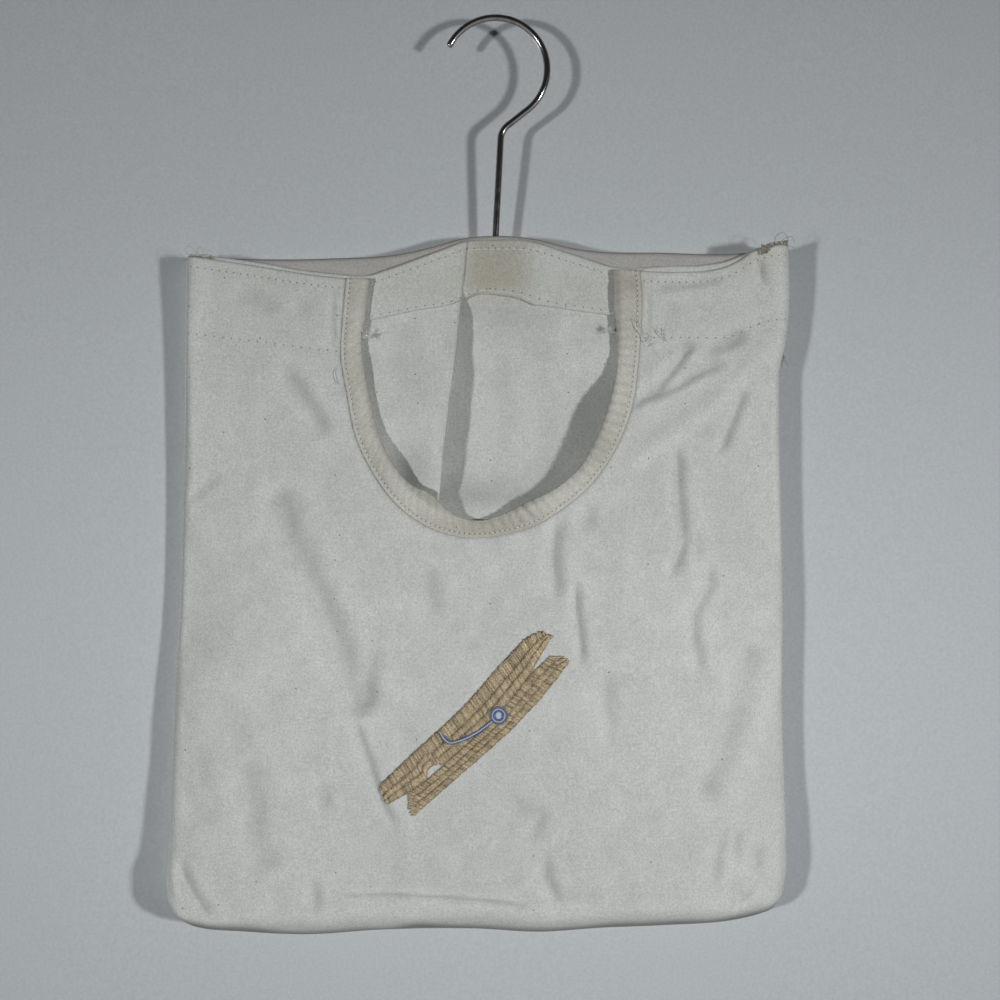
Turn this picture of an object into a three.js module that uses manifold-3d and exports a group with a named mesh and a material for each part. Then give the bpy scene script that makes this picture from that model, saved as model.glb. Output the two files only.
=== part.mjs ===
// Peg bag: a home-sewn cotton bag for clothes pegs, hung from a wire hook that swivels in a wooden bar.
// Millimetres, +Z up. The bag faces -Y, and the origin is the seat of the hook, under its crown.

import * as THREE from "three";
import { mergeVertices } from "three/addons/utils/BufferGeometryUtils.js";
import Module from "manifold-3d";

const wasm = await Module();
wasm.setup();

// Hook
const WIRE = 3.5; // diameter of the wire
const CROOK_INSIDE = 51.3; // diameter of the space inside the crook
const TIP_ANGLE = 154; // degrees round the crook, from +X, where the wire is cut
const TAIL_ANGLE = -52; // degrees round the crook where the straight tail leaves it
const BEND_RADIUS = 10; // centreline of the bend between tail and stem
const STEM_LEAN = 3; // degrees that the stem leans to the right
const HEAD_DIAMETER = 7; // upset end that keeps the wire in the bar
const HEAD_HEIGHT = 2;
const HEAD_RECESS = 2; // how far the head is sunk into the bar
const SWIVEL_CLEARANCE = 0.3; // all round the wire and its head

// Cloth and thread
const CLOTH = 0.7; // one layer of cotton
const THREAD = 0.5; // a row of stitches
const GAP = 0.3; // air between pieces that lie on each other
const SEAM = 1.2; // overlocked edge that closes the sides and the bottom
const SEAM_WIDTH = 6; // the same edge from front to back
const SEAM_LAYER = 1.6; // from one layer to the next where they meet in that edge
const TACK_LENGTH = 15; // bundle of stitches on a top corner
const TACK_HEIGHT = 4;
const TACK_WIDTH = 6;

// Heights of the cloth, each counted down from the one that its comment names
const STEM_DROP = 115; // hook seat to the peak of the cloth at the stem
const CORNER_FALL = 7; // peak to the top corners
const DIP_FALL = 21; // peak to the slack edge beside the mouth
const BAG_HEIGHT = 366; // peak to the bottom seam
const PEAK_WIDTH = 36; // level stretch of the peak
const FRONT_HEM = 38; // turned hem of the front
const BACK_HEM = 27; // turned hem of the inner back
const EDGE_STITCH = 5; // row of stitches below a folded edge

// Outline and fullness of the bag
const TOP_WIDTH = 318;
const BOTTOM_WIDTH = 323;
const BAG_SLIP = 4.2; // how far the bag has slipped to the left on its bar
const CORNER_ROUND = 18; // bottom corners
const BOTTOM_ROLL = 22; // height over which the front rolls under
const TOP_ROLL = 11; // width over which the top closes to the side seam
const BELLY_ROLL = 45; // the same below the mouth
const LIP_FORWARD = 24; // front ahead of the seam at the lip of the mouth
const BELLY_FORWARD = 30; // and above the bottom roll
const INNER_EASE = 1.5; // slack between the two backs
const FALL_EASE = 3; // below its hem, before the inner back falls behind the bar
const FALL_RUN = 70; // height over which it falls

// Mouth
const MOUTH_WIDTH = 129; // between the finished edges of the legs
const LEG_LENGTH = 37; // straight part of a leg
const MOUTH_DEPTH = 92; // round part below the legs
const BINDING = 13; // visible width of the binding
const LIP_EASE = 2; // cloth below the binding before the front turns down

// Hanger bar and the casing that holds it
const BAR_THICKNESS = 11;
const BAR_HEIGHT = 28; // at the middle
const BAR_END_EASE = 2; // from a bar end to where the casing closes
const SHOULDER_FALL = 10.4; // from the middle of the bar to its shoulders
const SHOULDER_RUN = 56; // how far from the middle the shoulders level out
const FOLD_RISE = 2; // rounded fold of the casing over the bar
const CASING_TAIL = 12; // casing below the bar
const EYELET_CLEARANCE = 1.5; // round the wire where it leaves the casing

// Embroidered clothes peg on the front
const PEG_LENGTH = 118;
const PEG_WIDTH = 20;
const PEG_TILT = 45; // degrees from level
const PEG_X = -10.8; // middle of the motif
const PEG_DROP = 251.4; // from the peak to the middle of the motif
const HANDLE_NOTCH = 17; // split between the handles
const JAW_NOTCH = 10; // split between the jaws
const PEG_END = 15; // width over both tips
const EYE_LONG = 9; // oval hole behind the jaws
const EYE_WIDE = 5;
const EYE_AT = 36; // from the middle of the peg to the eye
const MOTIF = 0.8; // height of the satin stitches
const COIL_AT = 8; // from the middle of the peg to the spring's coil
const COIL_OUT = 10; // coil of the spring, outside
const COIL_IN = 6;
const ARM_REACH = 29; // arm of the spring, to the left
const ARM_FALL = 9; // and down
const ARM_WIDTH = 2;

// How finely the curves are divided
const FLAT_STEPS = 8; // columns from the middle to the roll
const ROLL_STEPS = 4; // columns or rows round a roll
const FOLD_STEPS = 4; // rows round the casing's fold
const HEM_LEDGE = 0.4; // height of the step where a hem begins
const MOUTH_STEPS = 32;
const WIRE_STEPS = 84;
const WIRE_SIDES = 8;
const ROUND_SIDES = 16;
const ROW_STEPS = 10;
const CORNER_STEPS = 5;

const rad = THREE.MathUtils.degToRad;
const lerp = THREE.MathUtils.lerp;

// Levels
const peakZ = -STEM_DROP;
const cornerZ = peakZ - CORNER_FALL;
const dipZ = peakZ - DIP_FALL;
const bottomZ = peakZ - BAG_HEIGHT;
const rollZ = bottomZ + BOTTOM_ROLL;
const legEndZ = dipZ - LEG_LENGTH;
const lipZ = legEndZ - MOUTH_DEPTH - BINDING - LIP_EASE;
const fallTopZ = dipZ - BACK_HEM - FALL_EASE;
const fallEndZ = fallTopZ - FALL_RUN;

// Depths: the middle of each layer of cloth, where it lies flat
const layer = CLOTH + GAP;
const casingY = -(BAR_THICKNESS / 2 + GAP + CLOTH / 2);
const backY = -casingY;
const innerTopY = casingY - layer;
const innerLowY = backY - CLOTH - INNER_EASE;
const topForward = -innerTopY + CLOTH + 2 * layer + CLOTH;
const seamY = { front: -2 * SEAM_LAYER, inner: -SEAM_LAYER, casing: 0, back: SEAM_LAYER };

// The bar's outline follows the casing, which rises to the hook in the middle.
const casingTop = (x) =>
  peakZ - SHOULDER_FALL * THREE.MathUtils.smoothstep(Math.abs(x), PEAK_WIDTH / 2, SHOULDER_RUN);
const foldZ = (x) => casingTop(x) - CLOTH / 2 - FOLD_RISE;
const barTop = (x) => foldZ(x) - GAP;
const barBottomZ = barTop(0) - BAR_HEIGHT;
const barHalf = TOP_WIDTH / 2 - TOP_ROLL - BAG_SLIP - BAR_END_EASE;

// Booleans
function solidOf(geometry) {
  const bare = geometry.clone();
  bare.deleteAttribute("normal");
  bare.deleteAttribute("uv");
  const merged = mergeVertices(bare, 1e-4);
  const mesh = new wasm.Mesh({
    numProp: 3,
    vertProperties: new Float32Array(merged.getAttribute("position").array),
    triVerts: new Uint32Array(merged.index.array),
  });
  return new wasm.Manifold(mesh);
}

function geometryOf(solid) {
  const mesh = solid.getMesh();
  const geometry = new THREE.BufferGeometry();
  geometry.setAttribute("position", new THREE.BufferAttribute(mesh.vertProperties, 3));
  geometry.setIndex(new THREE.BufferAttribute(mesh.triVerts, 1));
  geometry.computeVertexNormals();
  return geometry;
}

const cut = (geometry, ...tools) =>
  geometryOf(tools.reduce((solid, tool) => solid.subtract(solidOf(tool)), solidOf(geometry)));
const join = (geometry, ...others) =>
  geometryOf(others.reduce((solid, other) => solid.add(solidOf(other)), solidOf(geometry)));

// An upright round post
const post = (radius, lowZ, highZ) =>
  new THREE.CylinderGeometry(radius, radius, highZ - lowZ, ROUND_SIDES)
    .rotateX(Math.PI / 2)
    .translate(0, 0, (lowZ + highZ) / 2);

// Half the bag's width at a height, drawn in round the bottom corners
function halfWidth(z) {
  const straight = lerp(TOP_WIDTH, BOTTOM_WIDTH, (cornerZ - z) / (cornerZ - bottomZ)) / 2;
  const round = THREE.MathUtils.clamp((bottomZ + CORNER_ROUND - z) / CORNER_ROUND, 0, 1);
  return straight - CORNER_ROUND * (1 - Math.sqrt(1 - round * round));
}

// Width over which the cloth closes to the side seam: short at the bar, long below the mouth
const rollWidth = (z) =>
  lerp(TOP_ROLL, BELLY_ROLL, THREE.MathUtils.clamp((fallTopZ - z) / (fallTopZ - lipZ), 0, 1));

// Columns run across the bag: flat ones by their share of the flat width, then round the roll to the seam.
const flatColumns = [];
for (let k = -FLAT_STEPS; k <= FLAT_STEPS; k += 1) {
  flatColumns.push({ side: Math.sign(k), flat: Math.abs(k) / FLAT_STEPS, turn: 0 });
}
const rollColumns = (side) =>
  Array.from({ length: ROLL_STEPS }, (_, k) => ({ side, flat: 1, turn: (k + 1) / ROLL_STEPS }));
const columns = [...rollColumns(-1).reverse(), ...flatColumns, ...rollColumns(1)];

function columnX(column, z) {
  const roll = rollWidth(z);
  const reach = (halfWidth(z) - roll) * column.flat + roll * column.turn;
  return column.side * reach - BAG_SLIP;
}
const topX = (column) => columnX(column, cornerZ);

// How far forward the front stands, in two slopes that meet below the mouth
function forward(z) {
  if (z > lipZ) {
    return lerp(topForward, LIP_FORWARD, (cornerZ - z) / (cornerZ - lipZ));
  }
  return lerp(LIP_FORWARD, BELLY_FORWARD, Math.min((lipZ - z) / (lipZ - rollZ), 1));
}

// The inner back hangs in front of the bar, then falls back against the outer one.
const innerY = (z) =>
  lerp(innerTopY, innerLowY, THREE.MathUtils.clamp((fallTopZ - z) / (fallTopZ - fallEndZ), 0, 1));

// Upper edges
const mouthHalf = MOUTH_WIDTH / 2;
const bindingHalf = mouthHalf + BINDING;
function frontTop(x) {
  const reach = Math.abs(x + BAG_SLIP);
  const share = (reach - bindingHalf) / (TOP_WIDTH / 2 - bindingHalf);
  return lerp(dipZ, cornerZ, THREE.MathUtils.clamp(share, 0, 1));
}
function innerTop(x) {
  const share = (Math.abs(x) - PEAK_WIDTH / 2) / (mouthHalf - PEAK_WIDTH / 2);
  return Math.max(lerp(peakZ, dipZ, THREE.MathUtils.clamp(share, 0, 1)), frontTop(x));
}

// Rows run up the bag. Each gives its height in a column and how much of the fullness it has there.
const bottomRows = Array.from({ length: ROLL_STEPS + 1 }, (_, k) => {
  const angle = rad(90 * (1 - k / ROLL_STEPS));
  const z = rollZ - BOTTOM_ROLL * Math.sin(angle);
  return { z: () => z, full: Math.cos(angle) };
});
function rowsUp(low, high, steps, doubled = false) {
  return Array.from({ length: steps }, (_, k) => ({
    z: (column) => lerp(low(column), high(column), (k + 1) / steps),
    full: 1,
    doubled,
  }));
}
function hemRows(edge, hem) {
  const line = (column) => edge(topX(column)) - hem;
  const top = (column) => edge(topX(column));
  const ledge = { z: line, full: 1, doubled: true };
  const below = (column) => line(column) - HEM_LEDGE;
  return { below, rows: [ledge, ...rowsUp(line, top, 2, true)] };
}

// From the middle of the cloth to the face that carries the turned hem, which stops short of the side roll
const hemmedFace = (row, column) => CLOTH / 2 + (row.doubled && column.turn === 0 ? CLOTH : 0);
const plainFace = () => CLOTH / 2;

// The middle of a layer whose flat depth is y, drawn in to its place in the side and bottom seams
function drawnIn(y, seam, column, row) {
  return seam + (y - seam) * (1 - column.turn * column.turn) * row.full;
}

// Cloth on a grid of columns and rows: place gives its middle, and toFront and toBack the distance from
// there to its two faces, along the normal.
function sheet(rows, place, toFront, toBack) {
  const across = columns.length - 1;
  const up = rows.length - 1;
  const middle = columns.map((column) => rows.map((row) => place(column, row)));
  const box = new THREE.BoxGeometry(1, 1, 1, across, 1, up);
  const points = box.getAttribute("position");
  for (let n = 0; n < points.count; n += 1) {
    const i = Math.round((points.getX(n) + 0.5) * across);
    const j = Math.round((points.getZ(n) + 0.5) * up);
    const along = middle[Math.min(i + 1, across)][j].clone().sub(middle[Math.max(i - 1, 0)][j]);
    const rise = middle[i][Math.min(j + 1, up)].clone().sub(middle[i][Math.max(j - 1, 0)]);
    const normal = along.cross(rise).normalize();
    const reach = points.getY(n) < 0 ? toFront(rows[j], columns[i]) : -toBack(rows[j], columns[i]);
    const point = middle[i][j].clone().addScaledVector(normal, reach);
    points.setXYZ(n, point.x, point.y, point.z);
  }
  return box;
}

// A strip along stations in the XZ plane: it covers the offsets from low to high on the left of the way,
// and in depth it lies between two functions of height.
function ribbon(stations, low, high, frontOf, backOf) {
  const steps = stations.length - 1;
  const box = new THREE.BoxGeometry(1, 1, 1, steps, 1, 1);
  const points = box.getAttribute("position");
  for (let n = 0; n < points.count; n += 1) {
    const i = Math.round((points.getX(n) + 0.5) * steps);
    const offset = points.getZ(n) < 0 ? low : high;
    const { x, z, way } = stations[i];
    const pointX = x - way.y * offset;
    const pointZ = z + way.x * offset;
    const depth = points.getY(n) < 0 ? frontOf(pointZ) : backOf(pointZ);
    points.setXYZ(n, pointX, depth, pointZ);
  }
  return box;
}

// Stations through points of a flat path, with the direction of the way at each
function stationsThrough(points) {
  return points.map((point, i) => {
    const ahead = points[Math.min(i + 1, points.length - 1)];
    const behind = points[Math.max(i - 1, 0)];
    return { x: point.x, z: point.y, way: ahead.clone().sub(behind).normalize() };
  });
}
function edgeStations(fromX, toX, height) {
  const points = Array.from({ length: ROW_STEPS + 1 }, (_, k) => {
    const x = lerp(fromX, toX, k / ROW_STEPS);
    return new THREE.Vector2(x, height(x));
  });
  return stationsThrough(points);
}

// A row of thread on a face whose depth is a function of height
function threadRow(stations, faceY, offset = 0) {
  const low = offset - THREAD / 2;
  return ribbon(stations, low, low + THREAD, (z) => faceY(z) - GAP - THREAD, (z) => faceY(z) - GAP);
}

// Stations round the finished edge of the mouth, down the left leg and up the right one
const mouthPath = new THREE.Path();
mouthPath.moveTo(-mouthHalf, dipZ);
for (let k = 0; k <= MOUTH_STEPS; k += 1) {
  const angle = Math.PI * (1 + k / MOUTH_STEPS);
  mouthPath.lineTo(mouthHalf * Math.cos(angle), legEndZ + MOUTH_DEPTH * Math.sin(angle));
}
mouthPath.lineTo(mouthHalf, dipZ);
const mouthStations = stationsThrough(mouthPath.getPoints(1)).map((station) => ({
  ...station,
  x: station.x - BAG_SLIP,
}));
mouthStations[0].way.set(0, -1);
mouthStations[1].way.set(0, -1);
mouthStations.at(-2).way.set(0, 1);
mouthStations.at(-1).way.set(0, 1);

// Front: a full panel with its hem turned in, cut away inside the binding
function frontPanel() {
  const hem = hemRows(frontTop, FRONT_HEM);
  const rows = [
    ...bottomRows,
    ...rowsUp(() => rollZ, () => lipZ, 4),
    ...rowsUp(() => lipZ, hem.below, 3),
    ...hem.rows,
  ];
  const place = (column, row) => {
    const z = row.z(column);
    return new THREE.Vector3(columnX(column, z), drawnIn(-forward(z), seamY.front, column, row), z);
  };
  const panel = sheet(rows, place, plainFace, hemmedFace);
  const edge = mouthStations.map(({ x, z, way }) => new THREE.Vector2(x + way.y * layer, z - way.x * layer));
  const above = [edge.at(-1), edge[0]].map((point) => new THREE.Vector2(point.x, peakZ));
  const opening = new THREE.ExtrudeGeometry(new THREE.Shape([...edge, ...above]), {
    depth: 2 * BELLY_FORWARD,
    bevelEnabled: false,
  });
  return cut(panel, opening.rotateX(Math.PI / 2));
}

// Inner back: its hem is turned to the front, where the mouth shows it
function innerBackPanel() {
  const hem = hemRows(innerTop, BACK_HEM);
  const rows = [
    ...bottomRows,
    ...rowsUp(() => rollZ, () => fallEndZ, 4),
    ...rowsUp(() => fallEndZ, () => fallTopZ, 2),
    ...rowsUp(() => fallTopZ, hem.below, 1),
    ...hem.rows,
  ];
  const place = (column, row) => {
    const z = row.z(column);
    return new THREE.Vector3(columnX(column, z), drawnIn(innerY(z), seamY.inner, column, row), z);
  };
  return sheet(rows, place, hemmedFace, plainFace);
}

// Outer back: it goes up behind the bar, over it and down its front, and is sewn to itself below
function outerBackPanel() {
  const fold = (column) => foldZ(topX(column));
  const foldRows = Array.from({ length: FOLD_STEPS + 1 }, (_, k) => ({
    z: (column) => fold(column) + FOLD_RISE * Math.sin((Math.PI * k) / FOLD_STEPS),
    full: 1,
    over: (1 - Math.cos((Math.PI * k) / FOLD_STEPS)) / 2,
  }));
  const rows = [
    ...bottomRows,
    ...rowsUp(() => rollZ, () => barBottomZ - CASING_TAIL, 3),
    ...foldRows,
    { z: () => barBottomZ - GAP, full: 1, over: 1 },
    { z: () => barBottomZ - CASING_TAIL, full: 1, tail: true },
  ];
  const place = (column, row) => {
    const z = row.z(column);
    const rear = drawnIn(backY, seamY.back, column, row);
    const ahead = row.tail ? rear - layer : drawnIn(casingY, seamY.casing, column, row);
    return new THREE.Vector3(columnX(column, z), lerp(rear, ahead, row.tail ? 1 : row.over ?? 0), z);
  };
  const eyelet = post(WIRE / 2 + EYELET_CLEARANCE, foldZ(0), peakZ + FOLD_RISE);
  return cut(sheet(rows, place, plainFace, plainFace), eyelet);
}

// Binding: a strip folded round the cut edge of the front, with a leaf on each side of it
function mouthBinding() {
  const frontLeaf = (z) => -forward(z) - CLOTH / 2 - GAP;
  const backLeaf = (z) => -forward(z) + CLOTH / 2 + CLOTH + GAP;
  const outside = (z) => frontLeaf(z) - CLOTH;
  const inside = (z) => backLeaf(z) + CLOTH;
  return join(
    ribbon(mouthStations, -BINDING, 0, outside, frontLeaf),
    ribbon(mouthStations, -BINDING, 0, backLeaf, inside),
    ribbon(mouthStations, -CLOTH, 0, outside, inside),
  );
}

// Hook: a stem that leans a little, a bend, a straight tail and the crook, with a head under the bar
const crookRadius = (CROOK_INSIDE + WIRE) / 2;
const crookZ = -CROOK_INSIDE / 2;
const headTopZ = barBottomZ + HEAD_RECESS + HEAD_HEIGHT - SWIVEL_CLEARANCE;

class FlatWay extends THREE.Curve {
  constructor(path) {
    super();
    this.path = path;
  }
  getPoint(share, target = new THREE.Vector3()) {
    const point = this.path.getPointAt(share);
    return target.set(point.x, 0, point.y);
  }
}

function hookWay() {
  const lean = rad(STEM_LEAN);
  const up = new THREE.Vector2(Math.sin(lean), Math.cos(lean));
  const tail = new THREE.Vector2(Math.cos(rad(TAIL_ANGLE + 90)), Math.sin(rad(TAIL_ANGLE + 90)));
  const joint = new THREE.Vector2(Math.cos(rad(TAIL_ANGLE)), Math.sin(rad(TAIL_ANGLE)));
  joint.multiplyScalar(crookRadius).add(new THREE.Vector2(0, crookZ));
  const slope = Math.tan(lean);
  const back = (joint.x - slope * (joint.y - peakZ)) / (tail.x - slope * tail.y);
  const corner = joint.clone().addScaledVector(tail, -back);
  const setback = BEND_RADIUS * Math.tan((Math.PI / 2 - lean - rad(TAIL_ANGLE + 90)) / 2);
  const stemEnd = corner.clone().addScaledVector(up, -setback);
  const bend = new THREE.Vector2(stemEnd.x + BEND_RADIUS * up.y, stemEnd.y - BEND_RADIUS * up.x);
  const path = new THREE.Path();
  path.moveTo(0, headTopZ - HEAD_HEIGHT / 2);
  path.lineTo(0, peakZ);
  path.lineTo(stemEnd.x, stemEnd.y);
  path.absarc(bend.x, bend.y, BEND_RADIUS, Math.PI - lean, rad(TAIL_ANGLE + 180), true);
  path.absarc(0, crookZ, crookRadius, rad(TAIL_ANGLE), rad(TIP_ANGLE), false);
  return new FlatWay(path);
}

function hangerHook() {
  const section = new THREE.Shape().absarc(0, 0, WIRE / 2, 0, 2 * Math.PI);
  const wire = new THREE.ExtrudeGeometry(section, {
    steps: WIRE_STEPS,
    curveSegments: WIRE_SIDES,
    extrudePath: hookWay(),
    bevelEnabled: false,
  });
  return join(wire, post(HEAD_DIAMETER / 2, headTopZ - HEAD_HEIGHT, headTopZ));
}

function hangerBar() {
  const outline = new THREE.Shape();
  outline.moveTo(-barHalf, barBottomZ);
  outline.lineTo(barHalf, barBottomZ);
  const under = flatColumns.map(topX).filter((x) => Math.abs(x) < barHalf);
  for (const x of [barHalf, ...under.reverse(), -barHalf]) {
    outline.lineTo(x, barTop(x));
  }
  const blank = new THREE.ExtrudeGeometry(outline, { depth: BAR_THICKNESS, bevelEnabled: false });
  blank.rotateX(Math.PI / 2).translate(0, BAR_THICKNESS / 2, 0);
  const bore = post(WIRE / 2 + SWIVEL_CLEARANCE, barBottomZ - GAP, peakZ);
  const recessTopZ = barBottomZ + HEAD_RECESS + HEAD_HEIGHT;
  const recess = post(HEAD_DIAMETER / 2 + SWIVEL_CLEARANCE, barBottomZ - GAP, recessTopZ);
  return cut(blank, bore, recess);
}

// Rows of stitches. The front's lie on its outer face, the inner back's on its turned hem.
const frontFace = (z) => -forward(z) - CLOTH / 2;
const hemFace = () => innerTopY - CLOTH / 2 - CLOTH;
const bindingFace = (z) => frontFace(z) - GAP - CLOTH;
const flatHalf = TOP_WIDTH / 2 - TOP_ROLL;
const flapFrom = { left: -flatHalf, right: bindingHalf + THREAD };
const flapTo = { left: -bindingHalf - THREAD, right: flatHalf };
function flapRow(side, below) {
  const height = (x) => frontTop(x) - below;
  return threadRow(edgeStations(flapFrom[side] - BAG_SLIP, flapTo[side] - BAG_SLIP, height), frontFace);
}
function innerRow(below) {
  const half = mouthHalf - THREAD;
  const height = (x) => innerTop(x) - below;
  return threadRow(edgeStations(-half - BAG_SLIP, half - BAG_SLIP, height), hemFace);
}
function bindingRow() {
  return threadRow(mouthStations, bindingFace, 2 * THREAD - BINDING);
}
function casingRow() {
  const height = () => barBottomZ - CASING_TAIL + THREAD;
  const stations = edgeStations(flatHalf - BAG_SLIP, -flatHalf - BAG_SLIP, height);
  const face = backY + CLOTH / 2 + GAP;
  return ribbon(stations, -THREAD, 0, () => face, () => face + THREAD);
}

// Overlocked seams round the sides and the bottom, outside the edges of the cloth
const arcZ = bottomZ + CORNER_ROUND;
function outline(side) {
  const points = Array.from({ length: ROW_STEPS + 1 }, (_, k) => {
    const z = lerp(cornerZ, arcZ, k / ROW_STEPS);
    return new THREE.Vector2(side * halfWidth(z) - BAG_SLIP, z);
  });
  return side < 0 ? points : points.reverse();
}
function bottomOutline() {
  const corner = (side) =>
    Array.from({ length: CORNER_STEPS + 1 }, (_, k) => {
      const z = arcZ - CORNER_ROUND * Math.sin(rad((90 * k) / CORNER_STEPS));
      return new THREE.Vector2(side * halfWidth(z) - BAG_SLIP, z);
    });
  return [...corner(-1), ...corner(1).reverse()];
}
function overlock(points, trim = 0) {
  const stations = stationsThrough(points);
  stations[0].x += stations[0].way.x * trim;
  stations[0].z += stations[0].way.y * trim;
  stations.at(-1).x -= stations.at(-1).way.x * trim;
  stations.at(-1).z -= stations.at(-1).way.y * trim;
  const offset = CLOTH / 2 + GAP;
  const middle = (seamY.front + seamY.back) / 2;
  const half = SEAM_WIDTH / 2;
  return ribbon(stations, -offset - SEAM, -offset, () => middle - half, () => middle + half);
}

// A bundle of stitches across the layers at a top corner
function cornerTack(side) {
  const outer = side * (TOP_WIDTH / 2) - BAG_SLIP;
  const inner = outer - side * TACK_LENGTH;
  const highest = (x) => Math.max(innerTop(x), casingTop(x));
  const stations = edgeStations(Math.min(outer, inner), Math.max(outer, inner), highest);
  return ribbon(stations, GAP, GAP + TACK_HEIGHT, () => innerTopY, () => innerTopY + TACK_WIDTH);
}

// Embroidery: flat shapes laid on the front, a given height above its face
const pegZ = peakZ - PEG_DROP;
function onFront(shape, lift, height) {
  const raised = new THREE.ExtrudeGeometry(shape, {
    depth: height,
    bevelEnabled: false,
    curveSegments: ROUND_SIDES,
  });
  raised.rotateZ(rad(PEG_TILT)).translate(PEG_X, pegZ, 0);
  const points = raised.getAttribute("position");
  for (let n = 0; n < points.count; n += 1) {
    const z = points.getY(n);
    points.setXYZ(n, points.getX(n), frontFace(z) - lift - points.getZ(n), z);
  }
  return raised;
}
function embroideredPeg() {
  const long = PEG_LENGTH / 2;
  const wide = PEG_WIDTH / 2;
  const tip = PEG_END / 2;
  const peg = new THREE.Shape([
    new THREE.Vector2(-long, tip),
    new THREE.Vector2(JAW_NOTCH - long, 0),
    new THREE.Vector2(-long, -tip),
    new THREE.Vector2(0, -wide),
    new THREE.Vector2(long, -tip),
    new THREE.Vector2(long - HANDLE_NOTCH, 0),
    new THREE.Vector2(long, tip),
    new THREE.Vector2(0, wide),
  ]);
  peg.holes.push(new THREE.Path().absellipse(-EYE_AT, 0, EYE_LONG / 2, EYE_WIDE / 2, 0, 2 * Math.PI, true));
  return onFront(peg, GAP, MOTIF);
}
function embroideredSpring() {
  const lift = 2 * GAP + MOTIF;
  const coil = new THREE.Shape().absarc(COIL_AT, 0, COIL_OUT / 2, 0, 2 * Math.PI, false);
  coil.holes.push(new THREE.Path().absarc(COIL_AT, 0, COIL_IN / 2, 0, 2 * Math.PI, true));
  const coilX = PEG_X + COIL_AT * Math.cos(rad(PEG_TILT));
  const coilZ = pegZ + COIL_AT * Math.sin(rad(PEG_TILT));
  const armStart = new THREE.Vector2(coilX - (COIL_IN + COIL_OUT) / 4, coilZ);
  const sag = new THREE.Vector2(coilX - ARM_REACH / 2, coilZ - ARM_FALL);
  const armEnd = new THREE.Vector2(coilX - ARM_REACH, coilZ - ARM_FALL);
  const arm = new THREE.QuadraticBezierCurve(armEnd, sag, armStart);
  const stations = stationsThrough(arm.getPoints(ROW_STEPS));
  const face = (z) => frontFace(z) - lift;
  const strip = ribbon(stations, -ARM_WIDTH / 2, ARM_WIDTH / 2, (z) => face(z) - MOTIF, face);
  return join(onFront(coil, lift, MOTIF), strip);
}

// Finishes
const finish =
  (color, roughness, metalness = 0) =>
  () =>
    new THREE.MeshStandardMaterial({ color, roughness, metalness });
const cotton = finish(0xd6d5cc, 0.9);
const yellowedCotton = finish(0xd0cbb8, 0.9);
const whiteThread = finish(0xe4e2d8, 0.8);
const beigeThread = finish(0xb9a888, 0.6);
const blueThread = finish(0x7f9cc4, 0.6);
const chromedSteel = finish(0x9a9a9c, 0.15, 1);
const beechwood = finish(0xb58f63, 0.6);

const bag = new THREE.Group();
function add(name, geometry, material) {
  const mesh = new THREE.Mesh(geometry, material());
  mesh.name = name;
  bag.add(mesh);
}

add("hanger_hook", hangerHook(), chromedSteel);
add("hanger_bar", hangerBar(), beechwood);
add("front_panel", frontPanel(), cotton);
add("inner_back_panel", innerBackPanel(), cotton);
add("outer_back_panel", outerBackPanel(), cotton);
add("mouth_binding", mouthBinding(), yellowedCotton);
add("binding_stitch", bindingRow(), whiteThread);
for (const side of ["left", "right"]) {
  add(`top_stitch_${side}`, flapRow(side, EDGE_STITCH), whiteThread);
  add(`hem_stitch_${side}`, flapRow(side, FRONT_HEM), whiteThread);
}
add("inner_top_stitch", innerRow(EDGE_STITCH), whiteThread);
add("inner_hem_stitch", innerRow(BACK_HEM - THREAD), whiteThread);
add("casing_stitch", casingRow(), whiteThread);
add("side_seam_left", overlock(outline(-1)), whiteThread);
add("side_seam_right", overlock(outline(1)), whiteThread);
add("bottom_seam", overlock(bottomOutline(), GAP), whiteThread);
add("corner_tack_left", cornerTack(-1), whiteThread);
add("corner_tack_right", cornerTack(1), whiteThread);
add("embroidered_peg", embroideredPeg(), beigeThread);
add("embroidered_spring", embroideredSpring(), blueThread);

export default bag;
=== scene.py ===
# %% [markdown]
# # A peg bag on a wire hook
# The real thing is a flat cotton bag, sewn at home, washed soft and creased, that hangs by a chromed hook
# from a hidden wooden bar. Three cloths make it: a front with a bound mouth, an inner back that shows in
# the mouth, and an outer back whose top is folded over the bar. Each is laid here as a numpy surface,
# because its folds can then be drawn one by one. Lengths are millimetres while a shape is worked out, and
# the mesh maker turns them into metres.

import bpy
import numpy as np
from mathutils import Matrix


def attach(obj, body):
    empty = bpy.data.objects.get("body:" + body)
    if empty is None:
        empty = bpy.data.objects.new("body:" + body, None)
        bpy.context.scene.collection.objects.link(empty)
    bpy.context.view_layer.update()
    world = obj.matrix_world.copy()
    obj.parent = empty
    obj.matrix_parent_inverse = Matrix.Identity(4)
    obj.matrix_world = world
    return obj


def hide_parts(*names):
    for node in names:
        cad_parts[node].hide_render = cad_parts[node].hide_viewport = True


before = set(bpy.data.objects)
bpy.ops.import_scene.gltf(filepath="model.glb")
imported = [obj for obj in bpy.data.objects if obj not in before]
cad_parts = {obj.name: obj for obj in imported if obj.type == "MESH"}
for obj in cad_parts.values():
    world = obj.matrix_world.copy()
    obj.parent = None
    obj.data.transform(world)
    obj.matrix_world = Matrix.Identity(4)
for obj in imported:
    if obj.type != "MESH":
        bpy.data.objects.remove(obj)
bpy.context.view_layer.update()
scene = bpy.context.scene
MM = 0.001
print("nodes in the frame:", len(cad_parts))

# %% [markdown]
# ## Camera
# The bag is seen square from the front, from the middle of its height and close enough for a little
# perspective. The lens is worked out from how much of the hook's plane the picture takes in.

# %% Camera
EYE = (2.4, -750, -253.9)
PICTURE_WIDTH = 530
SENSOR = 36

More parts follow.
